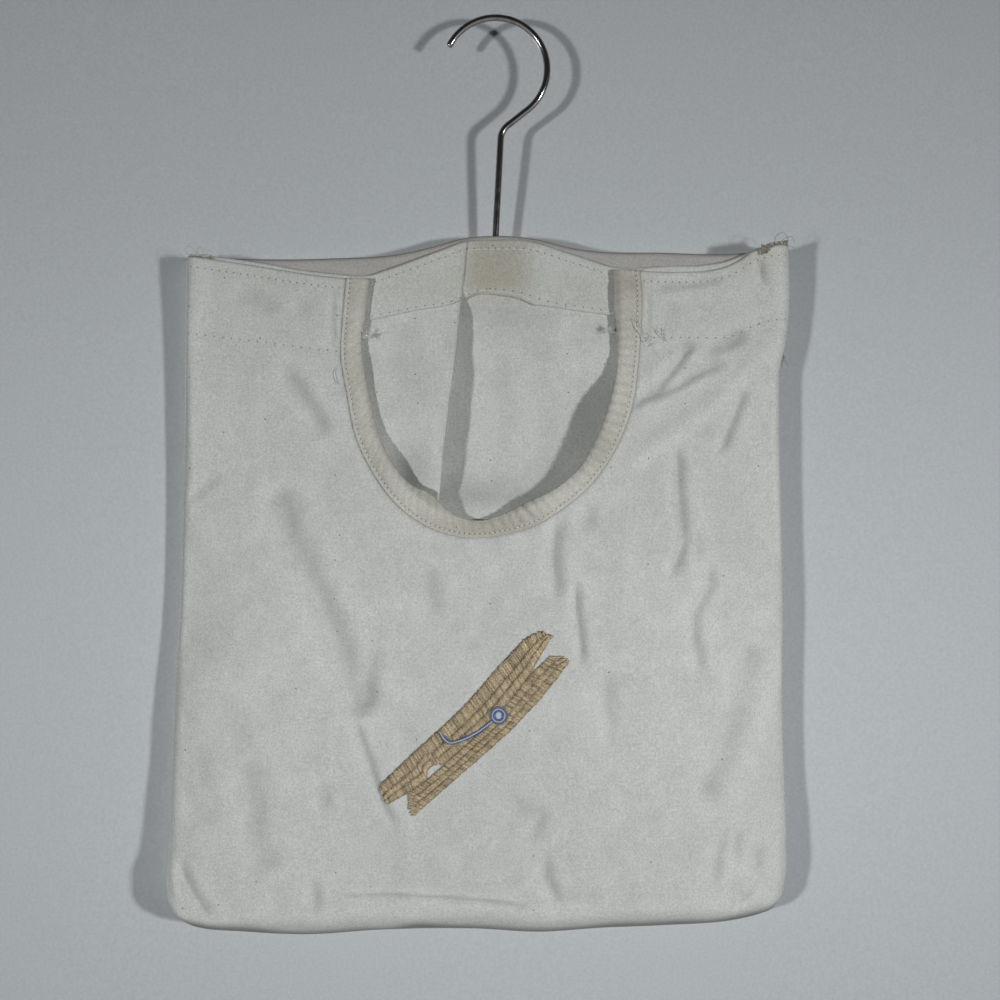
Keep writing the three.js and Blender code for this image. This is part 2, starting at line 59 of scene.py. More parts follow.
camera = bpy.data.objects.new("camera", bpy.data.cameras.new("camera"))
camera.data.sensor_width = SENSOR
camera.data.lens = SENSOR * -EYE[1] / PICTURE_WIDTH
camera.location = np.multiply(EYE, MM)
camera.rotation_euler = (np.pi / 2, 0, 0)
scene.collection.objects.link(camera)
scene.camera = camera
print("lens in millimetres:", round(camera.data.lens, 2))

# %% [markdown]
# ## Shader maths
# Materials are easier to read as sums than as a web of nodes. The small class below stands for one socket:
# adding or multiplying two of them adds the Math node, and one method adds any other kind of node.

# %% A socket that can be reckoned with
class Paint:
    """One socket in a material. Python sums on it become Math nodes."""

    def __init__(self, tree, socket=None):
        self.tree = tree
        self.socket = socket

    def plug(self, target, value):
        """Gives a socket a number, a colour or a link."""
        if isinstance(value, Paint):
            self.tree.links.new(value.socket, target)
        else:
            target.default_value = value

    def node(self, kind, settings=(), values=(), out=0):
        """Adds a node: its settings first, then the values or links of its inputs. Returns one output."""
        node = self.tree.nodes.new(kind)
        for name, setting in dict(settings).items():
            setattr(node, name, setting)
        for name, value in dict(values).items():
            self.plug(node.inputs[name], value)
        return Paint(self.tree, node.outputs[out])

    def maths(self, operation, *values):
        """One Math node on values or sockets."""
        return self.node("ShaderNodeMath", {"operation": operation}, enumerate(values))

    def __add__(self, other):
        return self.maths("ADD", self, other)

    def __sub__(self, other):
        return self.maths("SUBTRACT", self, other)

    def __rsub__(self, other):
        return self.maths("SUBTRACT", other, self)

    def __mul__(self, other):
        return self.maths("MULTIPLY", self, other)

    __radd__ = __add__
    __rmul__ = __mul__

    def rise(self, low, high):
        """0 below low, 1 above high, and an eased step between."""
        values = {"Value": self, "From Min": low, "From Max": high}
        return self.node("ShaderNodeMapRange", {"interpolation_type": "SMOOTHSTEP"}, values)

    def blend(self, first, second):
        """Mixes two colours, with this socket as the share of the second."""
        values = {0: self, 6: first, 7: second}
        return self.node("ShaderNodeMix", {"data_type": "RGBA"}, values, out=2)

    def noise(self, place, scale, detail=2.0):
        """Cloudy noise about 0.5 at a place."""
        values = {"Vector": place, "Scale": scale, "Detail": detail}
        return self.node("ShaderNodeTexNoise", {}, values)

    def stretch(self, place, factors):
        """A place with each of its coordinates multiplied."""
        return self.node("ShaderNodeVectorMath", {"operation": "MULTIPLY"}, {0: place, 1: factors})


print("methods of Paint:", [name for name in vars(Paint) if not name.startswith("_")])

# %% Colours and materials
def tint(red, green, blue, level=1.0):
    """A colour from 8-bit screen values, as the linear numbers that a shader takes."""
    screen = np.array([red, green, blue]) / 255
    linear = np.where(screen <= 0.04045, screen / 12.92, ((screen + 0.055) / 1.055) ** 2.4)
    return (*(level * linear).tolist(), 1.0)


def start_material(name):
    """A material with a Principled shader on its output, a Paint to add nodes, and the shader's inputs."""
    material = bpy.data.materials.new(name)
    material.use_nodes = True
    tree = material.node_tree
    tree.nodes.clear()
    shader = tree.nodes.new("ShaderNodeBsdfPrincipled")
    output = tree.nodes.new("ShaderNodeOutputMaterial")
    tree.links.new(shader.outputs[0], output.inputs["Surface"])
    return material, Paint(tree), shader.inputs


print("colour check, mid grey:", round(tint(188, 188, 188)[0], 3))

# %% [markdown]
# ## Washed cotton
# Plain weave shows as a fine grain of crossing threads, some thicker than others. Years of washing leave
# cloudy patches, a few specks and yellowing where hands touch, and painted shade darkens the creases. The
# weave follows the cloth, so each cloth carries an attribute "lie" that says in millimetres where a point was
# before the cloth was hung. A second one, "row", gives the way along a row of stitches, the distance from the
# edge and the distance from the hem's end, and the needle holes are drawn from it as dots of painted shade.
# Two more say how strong the stains ("soil") and the painted shade are.

# %% Cotton
WEAVE = 0.62
HOLE = 0.38
SPECK_SPACING = 20
PAINTED_SHADE_LEVEL = 0.35


def needle_holes(paint, row, axis, distance, pitch):
    """Dark where (way to the nearest multiple of pitch)^2 + (distance off the row)^2 is under HOLE^2."""
    along = row.node("ShaderNodeSeparateXYZ", {}, {0: row})
    off = row.node("ShaderNodeSeparateXYZ", {}, {0: row}, out=axis) - distance
    step = (paint.maths("FRACT", along * (1 / pitch) + 0.5) - 0.5) * pitch
    return 1 - (step * step + off * off).rise(0.3 * HOLE**2, 1.6 * HOLE**2)


def cotton(name, base, soiled, holes):
    """Cotton cloth of one colour. holes lists (which distance of "row", its value, pitch) for each row of
    stitches."""
    material, paint, shader = start_material(name)
    place = paint.node("ShaderNodeTexCoord", out="Object")
    lie = paint.node("ShaderNodeAttribute", {"attribute_name": "lie"}, out="Vector")
    row = paint.node("ShaderNodeAttribute", {"attribute_name": "row"}, out="Vector")
    soil = paint.node("ShaderNodeAttribute", {"attribute_name": "soil"}, out="Fac")
    worn = paint.node("ShaderNodeAttribute", {"attribute_name": "worn"}, out="Fac")

    across = paint.maths("SINE", lie.node("ShaderNodeSeparateXYZ", {}, {0: lie}) * (2 * np.pi / WEAVE))
    up = paint.maths("SINE", lie.node("ShaderNodeSeparateXYZ", {}, {0: lie}, out=1) * (2 * np.pi / WEAVE))
    weave = across * up
    warp = paint.noise(paint.stretch(lie, (1.7, 0.06, 1)), 1.0)
    weft = paint.noise(paint.stretch(lie, (0.06, 1.7, 1)), 1.0)
    threads_seen = warp + weft - 1

    clouds = paint.noise(place, 24.0, 4.0)
    patches = paint.noise(place, 95.0, 3.0)
    crinkle = paint.noise(place, 230.0, 3.0)
    grain = paint.noise(place, 1100.0, 1.0)
    cells = {"Vector": lie, "Scale": 1 / SPECK_SPACING}
    near = paint.node("ShaderNodeTexVoronoi", {"voronoi_dimensions": "2D"}, cells)
    chance = paint.node("ShaderNodeTexVoronoi", {"voronoi_dimensions": "2D"}, cells, out="Color")
    chance = chance.node("ShaderNodeSeparateColor", {}, {0: chance})
    speck = (1 - near.rise(0.014, 0.026)) * chance.rise(0.78, 0.86)

    light = clouds * 0.5 + patches * 0.3 + crinkle * 0.4 + grain * 2.0 + threads_seen * 0.4 - 1.1
    clean = light.blend(tint(*base, 0.84), tint(*base, 1.16))
    stained = light.blend(tint(*soiled, 0.84), tint(*soiled, 1.16))
    colour = (soil * (0.7 + clouds * 0.6)).blend(clean, stained)
    # Painted shade: the colour darkens towards a third of its base where the painted shade attribute is high.
    colour = worn.blend(colour, tint(*base, PAINTED_SHADE_LEVEL))
    colour = (speck * 0.75).blend(colour, tint(74, 64, 54))
    # Painted shade: each needle hole is a dark dot, for the shade inside the hole.
    for axis, distance, pitch in holes:
        colour = (needle_holes(paint, row, axis, distance, pitch) * 0.75).blend(colour, tint(78, 76, 70))

    height = weave * 0.02 + threads_seen * 0.09 + grain * 0.12 + crinkle * 0.12 + patches * 0.15
    paint.plug(shader["Base Color"], colour)
    paint.plug(shader["Roughness"], 0.78 + patches * 0.2)
    bump = paint.node("ShaderNodeBump", {}, {"Height": height, "Distance": MM, "Strength": 0.9})
    paint.plug(shader["Normal"], bump)
    shader["Specular IOR Level"].default_value = 0.2
    shader["Sheen Weight"].default_value = 0.12
    return material


print("weave in millimetres:", WEAVE)

# %% Four cottons
EDGE_ROW = 4.6
EDGE_PITCH = 3.7
HEM_PITCH = 4.6
HEM_INSET = 1.7
BINDING_ROW = 2.2
BINDING_PITCH = 2.7
CLOTH_TINT = (201, 204, 201)
SOIL_TINT = (174, 170, 156)

front_cotton = cotton("front_cotton", CLOTH_TINT, SOIL_TINT, [(1, EDGE_ROW, EDGE_PITCH), (2, 0, HEM_PITCH)])
inner_rows = [(1, EDGE_ROW, EDGE_PITCH), (2, -HEM_INSET, HEM_PITCH)]
inner_cotton = cotton("inner_cotton", (200, 203, 199), SOIL_TINT, inner_rows)
# On the outer back the soiled colour serves mostly as painted shade over the casing.
back_cotton = cotton("back_cotton", (199, 200, 195), (164, 160, 156), [])
binding_cotton = cotton("binding_cotton", (205, 204, 195), (160, 155, 140),
                        [(1, BINDING_ROW, BINDING_PITCH)])
print("cottons made: 4")

# %% [markdown]
# ## Thread, chrome and wood
# Sewing thread is matt and embroidery thread is silky, so they share a recipe with another gloss. Each
# strand carries a random "tone", because no two strands catch the light alike. The wire is drawn steel with
# worn chrome, and the bar inside is plain beech.

# %% Thread, chrome and wood
def thread(name, base, roughness, spread, fleck=0.25):
    """Thread whose lightness varies from 1 - spread to 1 + spread, as painted sheen: by strand, and by a
    share fleck along its twist."""
    material, paint, shader = start_material(name)
    place = paint.node("ShaderNodeTexCoord", out="Object")
    tone = paint.node("ShaderNodeAttribute", {"attribute_name": "tone"}, out="Fac")
    ply = paint.noise(place, 2600.0, 1.0)
    # Painted sheen: light and dark flecks along the twist.
    twist_sheen = paint.noise(place, 1500.0, 1.0).rise(0.36, 0.64)
    lightness = tone * (1 - fleck) + twist_sheen * fleck
    paint.plug(shader["Base Color"], lightness.blend(tint(*base, 1 - spread), tint(*base, 1 + spread)))
    paint.plug(shader["Roughness"], roughness + ply * 0.15)
    bump = paint.node("ShaderNodeBump", {}, {"Height": ply, "Distance": 0.1 * MM, "Strength": 0.6})
    paint.plug(shader["Normal"], bump)
    return material


def chrome():
    """Worn chrome: dark bright metal, a little duller in patches and along fine drawing lines."""
    material, paint, shader = start_material("worn_chrome")
    place = paint.node("ShaderNodeTexCoord", out="Object")
    wear = paint.noise(place, 160.0, 4.0).rise(0.45, 0.75)
    lines = paint.noise(paint.stretch(place, (2600, 2600, 60)), 1.0, 1.0)
    paint.plug(shader["Base Color"], wear.blend(tint(152, 149, 147), tint(118, 114, 110)))
    paint.plug(shader["Roughness"], 0.1 + wear * 0.14 + lines * 0.06)
    shader["Metallic"].default_value = 1.0
    return material


def beech():
    """Pale wood with its grain along the bar and short darker flecks."""
    material, paint, shader = start_material("plain_beech")
    place = paint.node("ShaderNodeTexCoord", out="Object")
    grain = paint.noise(paint.stretch(place, (9, 260, 420)), 1.0, 5.0)
    fleck = paint.noise(paint.stretch(place, (170, 900, 1500)), 1.0, 1.0).rise(0.62, 0.75)
    colour = grain.rise(0.3, 0.7).blend(tint(196, 160, 118), tint(214, 182, 142))
    paint.plug(shader["Base Color"], (fleck * 0.5).blend(colour, tint(150, 110, 74)))
    paint.plug(shader["Roughness"], 0.5 + grain * 0.2)
    bump = paint.node("ShaderNodeBump", {}, {"Height": grain, "Distance": 0.2 * MM})
    paint.plug(shader["Normal"], bump)
    return material


white_thread = thread("white_thread", (212, 211, 204), 0.7, 0.1)
frayed_thread = thread("frayed_thread", (176, 170, 156), 0.8, 0.2)
grey_thread = thread("grey_thread", (150, 147, 133), 0.8, 0.4)
beige_thread = thread("beige_thread", (172, 157, 129), 0.42, 0.68, 0.45)
blue_thread = thread("blue_thread", (94, 108, 138), 0.45, 0.45, 0.4)
pale_thread = thread("pale_thread", (186, 196, 214), 0.45, 0.12)
worn_chrome = chrome()
plain_beech = beech()
print("threads, chrome and wood made")

# %% [markdown]
# ## Mesh makers
# Two makers serve every piece. One closes a grid of points into quads, for cloth. The other carries a ring
# along many paths at once, for wire, stitches and strands. Both work on whole arrays.

# %% Mesh makers
def put_mesh(name, points, faces, attributes):
    """One smooth mesh object from points in millimetres, lists of faces of equal size, and point
    attributes."""
    mesh = bpy.data.meshes.new(name)
    places = np.asarray(points, float).reshape(-1, 3) * MM
    corners = np.concatenate([part.ravel() for part in faces])
    sizes = np.concatenate([np.full(len(part), part.shape[1]) for part in faces])
    mesh.vertices.add(len(places))
    mesh.vertices.foreach_set("co", places.ravel())
    mesh.loops.add(len(corners))
    mesh.loops.foreach_set("vertex_index", corners.astype(np.int32))
    mesh.polygons.add(len(sizes))
    mesh.polygons.foreach_set("loop_start", (np.cumsum(sizes) - sizes).astype(np.int32))
    mesh.polygons.foreach_set("use_smooth", np.ones(len(sizes), bool))
    mesh.update(calc_edges=True)
    for key, values in attributes.items():
        values = np.asarray(values, float)
        flat = values.ndim == np.ndim(points) - 1
        layer = mesh.attributes.new(key, "FLOAT" if flat else "FLOAT_VECTOR", "POINT")
        layer.data.foreach_set("value" if flat else "vector", values.ravel())
    piece = bpy.data.objects.new(name, mesh)
    scene.collection.objects.link(piece)
    return piece


def cloth_mesh(name, points, attributes, kept=None, thickness=0.6):
    """A grid of points (rows up, columns to the right) as cloth; kept says which of its quads stay."""
    rows, columns = points.shape[:2]
    index = np.arange(rows * columns).reshape(rows, columns)
    quads = np.stack([index[:-1, :-1], index[:-1, 1:], index[1:, 1:], index[1:, :-1]], -1)
    quads = quads.reshape(-1, 4) if kept is None else quads[kept]
    used, quads = np.unique(quads, return_inverse=True)
    flat = {key: np.asarray(v).reshape(rows * columns, -1)[used].squeeze() for key, v in attributes.items()}
    piece = put_mesh(name, points.reshape(-1, 3)[used], [quads.reshape(-1, 4)], flat)
    solid = piece.modifiers.new("thickness", "SOLIDIFY")
    solid.thickness = thickness * MM
    solid.offset = 0
    return piece


print("makers of meshes and cloth ready")

# %% Strands and dressing
def strands(paths, radius, sides, up=(0, -1, 0)):
    """Rings of so many sides stand square to each path: path + radius (cos t side + sin t rise). Ends are
    closed."""
    paths = np.asarray(paths, float)
    way = np.gradient(paths, axis=1)
    way /= np.linalg.norm(way, axis=-1, keepdims=True)
    side = np.cross(way, np.broadcast_to(up, way.shape))
    side /= np.maximum(np.linalg.norm(side, axis=-1, keepdims=True), 1e-6)
    rise = np.cross(side, way)
    turn = np.linspace(0, 2 * np.pi, sides, endpoint=False)[:, None]
    ring = np.cos(turn) * side[:, :, None] + np.sin(turn) * rise[:, :, None]
    size = np.broadcast_to(radius, paths.shape[:2])[:, :, None, None]
    points = paths[:, :, None] + size * ring
    index = np.arange(points.size // 3).reshape(points.shape[:3])
    after = np.roll(index, -1, 2)
    walls = np.stack([index[:, :-1], index[:, 1:], after[:, 1:], after[:, :-1]], -1)
    ends = np.concatenate([index[:, 0], index[:, -1, ::-1]])
    return points, [walls.reshape(-1, 4), ends]


def join(*parts):
    """Puts several (points, faces, tone) together as one list of points, faces and tones."""
    points, faces, tones = [], [], []
    start = 0
    for part, part_faces, tone in parts:
        points.append(part.reshape(-1, 3))
        faces += [face + start for face in part_faces]
        tones.append(np.broadcast_to(tone, part.shape[:-1]).ravel())
        start += part.size // 3
    return np.concatenate(points), faces, {"tone": np.concatenate(tones)}


def dress(piece, material, slot, *nodes, body="bag"):
    """Gives a piece its material and body, and hides the plain solids that it stands for. Its slot is not
    used.
    """
    piece.data.materials.append(material)
    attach(piece, body)
    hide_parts(*nodes)
    print(piece.name, "faces:", len(piece.data.polygons))
    return piece


print("makers of strands ready")

# %% [markdown]
# ## Drawn curves
# Outlines and folds are short lists of points. A smooth curve goes through them, and a fold is felt by
# every point of the cloth that lies near its line.

# %% Smooth curves
def through(knots, at):
    """Smooth curve through (place, value) knots: cubic pieces whose slopes come from the neighbours."""
    place, value = np.array(knots, float).T
    slope = np.gradient(value, place)
    at = np.clip(at, place[0], place[-1])
    k = np.clip(np.searchsorted(place, at, side="right") - 1, 0, len(place) - 2)
    step = place[k + 1] - place[k]
    t = (at - place[k]) / step
    rest = 1 - t
    ends = value[k] * (1 + 2 * t) * rest**2 + value[k + 1] * (3 - 2 * t) * t**2
    return ends + step * (slope[k] * t * rest**2 - slope[k + 1] * rest * t**2)


def trace(points, count):
    """So many points, evenly spaced, on the smooth curve through a few."""
    points = np.array(points, float)
    chord = np.concatenate([[0], np.cumsum(np.linalg.norm(np.diff(points, axis=0), axis=1))])
    fine = np.linspace(0, chord[-1], 20 * len(points))
    curve = np.stack([through(np.stack([chord, value], 1), fine) for value in points.T], 1)
    return walk(curve, np.linspace(0, 1, count) * way_along(curve)[-1])


def way_along(path):
    """Distance walked along a path at each of its points."""
    return np.concatenate([[0], np.cumsum(np.linalg.norm(np.diff(path, axis=0), axis=1))])


def walk(path, distance):
    """Points of a path at given distances along it."""
    way = way_along(path)
    return np.stack([np.interp(distance, way, value) for value in path.T], -1)


def arc(middle, radius, first, last, count):
    """Points of a circle from one angle to another."""
    angle = np.linspace(first, last, count)[:, None]
    return middle + radius * np.hstack([np.cos(angle), np.sin(angle)])


print("half way through a test curve:", through([(0, 0), (1, 1), (2, 0)], np.array([0.5])))

# %% Rumples and creases
def ease(value, low, high):
    """0 below low, 1 above high and 3t^2 - 2t^3 between."""
    t = np.clip((value - low) / (high - low), 0, 1)
    return t * t * (3 - 2 * t)


def rumple(x, z, size, seed):
    """Random heights from -1 to 1 on a square lattice of that size, eased between lattice points."""
    heights = np.random.default_rng(seed).uniform(-1, 1, (256, 256))
    u, v = x / size + 100.3, z / size + 150.7
    i, j = np.floor(u).astype(int), np.floor(v).astype(int)
    s, t = ease(u - i, 0, 1), ease(v - j, 0, 1)
    low = heights[i % 256, j % 256] * (1 - s) + heights[(i + 1) % 256, j % 256] * s
    high = heights[i % 256, (j + 1) % 256] * (1 - s) + heights[(i + 1) % 256, (j + 1) % 256] * s
    return low * (1 - t) + high * t


def crease(x, z, points, left, right, depth, fade=10):
    """depth exp(-(d / width)^2) at distance d from a broken line, with one width on its left and one on its
    right, seen along a line drawn downwards, and eased out over the last millimetres at its ends."""
    a, b = np.array(points[:-1], float), np.array(points[1:], float)
    run = b - a
    length = np.hypot(*run.T)
    share = ((x[..., None] - a[:, 0]) * run[:, 0] + (z[..., None] - a[:, 1]) * run[:, 1]) / length**2
    share = np.clip(share, 0, 1)
    dx = x[..., None] - a[:, 0] - share * run[:, 0]
    dz = z[..., None] - a[:, 1] - share * run[:, 1]
    nearest = np.argmin(dx**2 + dz**2, -1)[..., None]
    on_right = np.take_along_axis(run[:, 0] * dz - run[:, 1] * dx, nearest, -1)[..., 0] > 0
    distance = np.sqrt(np.take_along_axis(dx**2 + dz**2, nearest, -1)[..., 0])
    along = np.take_along_axis((np.cumsum(length) - length) + share * length, nearest, -1)[..., 0]
    ends = ease(along, -0.2 * fade, fade) * ease(length.sum() - along, -0.2 * fade, fade)
    return depth * ends * np.exp(-((distance / np.where(on_right, right, left)) ** 2))


middle = np.zeros(1)
print("depth on a test crease:", crease(middle, middle, [(0, 20), (0, -20)], 3, 3, 1.0))

# %% [markdown]
# ## The outline of the bag
# The bag has slipped a little to the left on its bar, hangs lower on the left, and its sides wander by a
# few millimetres, as washed cloth does. All three cloths share these edges, so they are curves of height.
# The hems were turned by hand, so their depths wander too.

# %% Outline
BOTTOM = -480
LEFT_SIDE = [(-480.5, -150), (-478, -159), (-474, -165.5), (-467, -171), (-458, -172.4), (-440, -171.6),
             (-394, -170.2), (-359, -169), (-306, -165.6), (-254, -164.2), (-126, -162.6)]
RIGHT_SIDE = [(-480.5, 128), (-478, 142), (-473, 149), (-464, 152), (-440, 153), (-410, 152.2), (-363, 151),
              (-306, 151.2), (-254, 150.2), (-206, 149.4), (-185, 149.8), (-172, 152.7), (-150, 154.8),
              (-121, 154.2)]
BOTTOM_LIFT = [(-160, 2), (-147, 0.6), (-99, -2), (-60, 0.5), (-8, 1), (21, -0.6), (58, 1.6), (90, 2.6),
               (121, 4), (138, 6.5), (152, 8.5)]
FRONT_EDGE = [(-163, -126.6), (-130, -131.6), (-76, -139), (-64, -139.4), (0, -137), (62, -134.8),
              (76, -135), (103, -135.2), (113, -134.6), (120, -133), (128, -129.2), (134, -125.2),
              (140, -122.8), (153, -120.8)]
INNER_EDGE = [(-163, -124.8), (-150, -126), (-123, -129.3), (-101, -133.2), (-84, -135.2), (-68, -136.2),
              (-50, -130.8), (-29, -123), (-15, -118), (0, -117.3), (15.5, -117.6), (38.6, -124.4),
              (51, -128.4), (57.5, -130.6), (63, -131.9), (73, -132.3), (86, -131.3), (112, -130.2),
              (121, -128.6), (129, -125.6), (136, -122.4), (153, -119.6)]
CASING_EDGE = [(-163, -125), (-137, -126.6), (-87, -126.6), (-48, -123.8), (-33, -120.3), (-18, -116.2),
               (0, -114.6), (20, -116.2), (43, -121.5), (53, -122.8), (86, -123.5), (126, -124.1),
               (153, -120.5)]
FRONT_HEM = [(-163, 39.6), (-81, 37.7), (66, 34.5), (113, 34.5), (134, 38), (153, 38)]
INNER_HEM = [(-163, 27), (-66, 23.5), (-42, 27), (-18, 31), (-8, 28), (10, 29), (24, 31), (40, 29),
             (57, 26), (153, 27)]
ROLL_POWER = 2.6
BOTTOM_ROLL, BOTTOM_POWER = 14, 2
CORNER_ROLL = 7
EDGE_BAND = 12


def roll(share, power=ROLL_POWER):
    """Rounded edge: (1 - (1 - share)^p)^(1/p), from 0 at the seam to 1 where the cloth lies flat."""
    return (1 - np.clip(1 - share, 0, 1) ** power) ** (1 / power)


def roll_steps(count):
    """Shares of the roll's reach at which its points are evenly spaced round the bend."""
    share = np.linspace(0, 1, 400)
    way = way_along(np.stack([share, roll(share)], 1))
    return np.interp(np.linspace(0, way[-1], count), way, share)


def lifted(x, z):
    """How much higher the right end of the bottom hangs, fading out upwards."""
    return through(BOTTOM_LIFT, x) * ease(-z, 330, 470)


def columns(left_height, right_height, flat_count, band_count):
    """x of each column of a cloth whose rows end at these heights: close together along the sides, even
    between."""
    left = through(LEFT_SIDE, left_height)[:, None]
    right = through(RIGHT_SIDE, right_height)[:, None]
    turn = roll_steps(band_count)[None] * EDGE_BAND
    share = np.linspace(0, 1, flat_count + 2)[None, 1:-1]
    low, high = left + EDGE_BAND, right - EDGE_BAND
    return np.hstack([left + turn, low + (high - low) * share, (right - turn)[:, ::-1]])


corners = np.array([-126, BOTTOM + 20])
print("width at the top and near the bottom:", through(RIGHT_SIDE, corners) - through(LEFT_SIDE, corners))

# %% [markdown]
# ## The front cloth
# An empty bag's front is a low dome between tight rolls at the side seams. Simulated cloth would fold where
# it pleases, so the folds are drawn where the real ones are: each is a line with a width on either side and
# a depth, and fine rumpling is added all over.

# %% Folds of the front
FRONT_SEAM = 1.5
TIGHT_LEFT = [(-480, 15), (-463, 15), (-441, 11), (-410, 7.5), (-358, 3.5), (-306, 2.5), (-254, 3),
              (-210, 4.5), (-165, 7.5), (-122, 9.3)]
TIGHT_RIGHT = [(-480, 7), (-441, 7), (-400, 4.5), (-330, 5), (-210, 6), (-165, 7.8), (-122, 9.3)]
SIDE_REACH = [(-480, 9), (-420, 8), (-358, 5), (-254, 5), (-210, 5.5), (-165, 8), (-122, 10)]
FORWARD = [(-480, 22), (-455, 26.5), (-380, 26), (-290, 21.5), (-265, 18.5), (-200, 14.5), (-122, 10.8)]
DOME = [(-480, 85), (-305, 85), (-240, 120), (-122, 120)]
FRONT_FOLDS = [
    ([(-112, -183), (-102, -199), (-87, -221)], 6, 5, 2.4),
    ([(-117, -246), (-106, -273), (-96, -293), (-85, -316), (-77, -336), (-67, -367)], 7, 9, 4.6),
    ([(-62, -327), (-67, -361)], 5, 6, 1.8),
    ([(-73, -365), (-66, -386), (-58, -409), (-51, -421)], 2.2, 2.6, 1.9),
    ([(-165, -255), (-157, -250), (-142, -239)], 4, 4, 1.3),
    ([(-35, -284), (-34, -304), (-30, -316)], 6, 6, 1.3),
    ([(-126, -386), (-125, -423), (-116, -447)], 9, 9, 2.2),
    ([(-89, -394), (-88, -418)], 5, 5, 1.3),
    ([(-92, -447), (-93, -471)], 3, 3, 1.5),
    ([(-81, -457.5), (-53, -456.5), (-8, -459.5), (16, -462.5)], 1.5, 1.8, 1.3),
    ([(-81, -454.5), (-53, -453.5), (-8, -456.5), (16, -459.5)], 1.6, 1.6, -0.9),
    ([(68, -207), (83, -197), (92, -187), (104, -171)], 2.4, 3.6, 2.9),
    ([(76, -203), (92, -196), (108, -187), (121, -182)], 2.4, 4, 2.2),
    ([(83, -178), (98, -174), (112, -175), (132, -169)], 3, 4, 1.8),
    ([(132, -164), (112, -178), (90, -190)], 4, 5, 1.5),
    ([(66, -238), (98, -217), (119, -200), (146, -172)], 5, 6, -1.6),
    ([(131, -194), (124, -212), (116, -231)], 2.4, 3, 2.0),
    ([(94, -226), (95, -255), (97, -276), (90, -294)], 2.2, 4, 2.7),
    ([(104, -268), (105, -287)], 3, 3, 1.2),
    ([(110, -286), (111, -298), (102, -313), (102, -324), (106, -345)], 3, 3.6, 1.8),
    ([(31, -262), (29, -282), (31, -306)], 2.4, 5, 2.6),
    ([(49, -251), (47, -273)], 5, 5, 1.3),
    ([(41, -295), (41, -311), (43, -326), (44, -340)], 1.6, 2.8, 1.9),
    ([(57, -340), (57, -362), (60, -374)], 5, 5, 1.5),
    ([(136, -328), (128, -356), (118, -386), (104, -410)], 6, 9, 3.4),
    ([(117, -424), (111, -455)], 4, 4, 1.6),
    ([(126, -421), (122, -444)], 3.4, 3.4, 1.4),
    ([(136, -429), (135, -451)], 3.4, 3.4, 1.5),
    ([(127, -318), (150, -311)], 5, 5, -1.2),
    ([(1, -400), (13, -412), (23, -415), (16, -431)], 4, 4, 1.3),
    ([(26, -432), (25, -447), (34, -462)], 3, 4, 1.7),
    ([(121, -467), (134, -457)], 2.2, 2.2, 1.8),
    ([(-166.6, -440), (-160.8, -451.6), (-152.6, -463.4), (-146.8, -472)], 2.0, 4.5, 2.4),
    ([(-170, -440), (-165, -455), (-156, -468)], 2.2, 2.2, -1.2),
    ([(-84.4, -143), (-85.6, -158), (-84, -176)], 0.9, 1.2, 0.9),
    ([(-82, -146), (-82.4, -178)], 1.1, 1.1, -0.5),
    ([(79, -140), (79.4, -152), (79, -170)], 0.9, 1.3, 0.9),
    ([(80, -142.5), (100, -141.5), (121, -138)], 2.0, 2.4, 1.6),
    ([(79, -138.4), (100, -138.6), (119, -135.8)], 1.2, 1.2, -0.6),
    ([(136.6, -126), (138, -133), (140, -143)], 1.5, 2.2, 2.0),
    ([(-136, -144), (-122, -150), (-112, -156)], 5, 5, 1.5),
    ([(-104, -146), (-98, -162)], 4, 5, 1.0),
    ([(96, -148), (90, -160)], 4, 4, 1.0),
]
FRONT_RUMPLE = [(46, 1.3, 3), (21, 0.65, 5), (10, 0.3, 7), (5, 0.1, 11)]

print("folds drawn in the front:", len(FRONT_FOLDS))

# %% Depth of the front
def front_drawn(x, z):
    """Sum of the drawn folds, as a depth behind the smooth shape."""
    return sum(crease(x, z, *fold) for fold in FRONT_FOLDS)


def front_depth(x, z):
    """How far the front stands ahead of the frame's middle: a tight roll at its seams and then a low dome,
    which rises as 1 - (1 - edge / DOME)^2, less the drawn folds and with the rumpling."""
    x, z = np.broadcast_arrays(np.asarray(x, float), np.asarray(z, float))
    level = z - lifted(x, z)
    edge = np.minimum(x - through(LEFT_SIDE, level), through(RIGHT_SIDE, level) - x)
    tight = np.where(x < 0, through(TIGHT_LEFT, level), through(TIGHT_RIGHT, level))
    dome = 1 - (1 - np.clip(edge / through(DOME, level), 0, 1)) ** 2
    rise = tight * roll(edge / through(SIDE_REACH, level))
    rise = rise + (through(FORWARD, level) - FRONT_SEAM - tight) * dome
    below = through(FRONT_EDGE, x) - z
    off_hem = below - through(FRONT_HEM, x)
    rows = np.exp(-(((below - EDGE_ROW) / 1.1) ** 2)) + np.exp(-((off_hem / 1.1) ** 2))
    slack = sum(height * rumple(x, z, size, seed) for size, height, seed in FRONT_RUMPLE)
    relief = slack * (0.55 + 0.45 * ease(-z, 135, 200)) - front_drawn(x, z) - 0.35 * rows
    relief = relief * ease(edge, 0, 5) * ease(level, BOTTOM + 1, BOTTOM + 9)
    reach = BOTTOM_ROLL + (CORNER_ROLL - BOTTOM_ROLL) * ease(-x, 125, 150)
    return FRONT_SEAM + rise * roll((level - BOTTOM) / reach, BOTTOM_POWER) + relief


def over_front(x, z, height):
    """Points at a height above the face of the front."""
    return np.stack([x, -front_depth(x, z) - height, z], -1)


print("depth of the front below the lip:", round(float(front_depth(0.0, -280.0)), 1))

# %% [markdown]
# ## The mouth
# The mouth is a long U. Its raw edge is folded into a bias binding, whose outer and inner edges wander
# because it was stretched on by hand. The two edges are drawn here first, because the front cloth is cut
# between them.

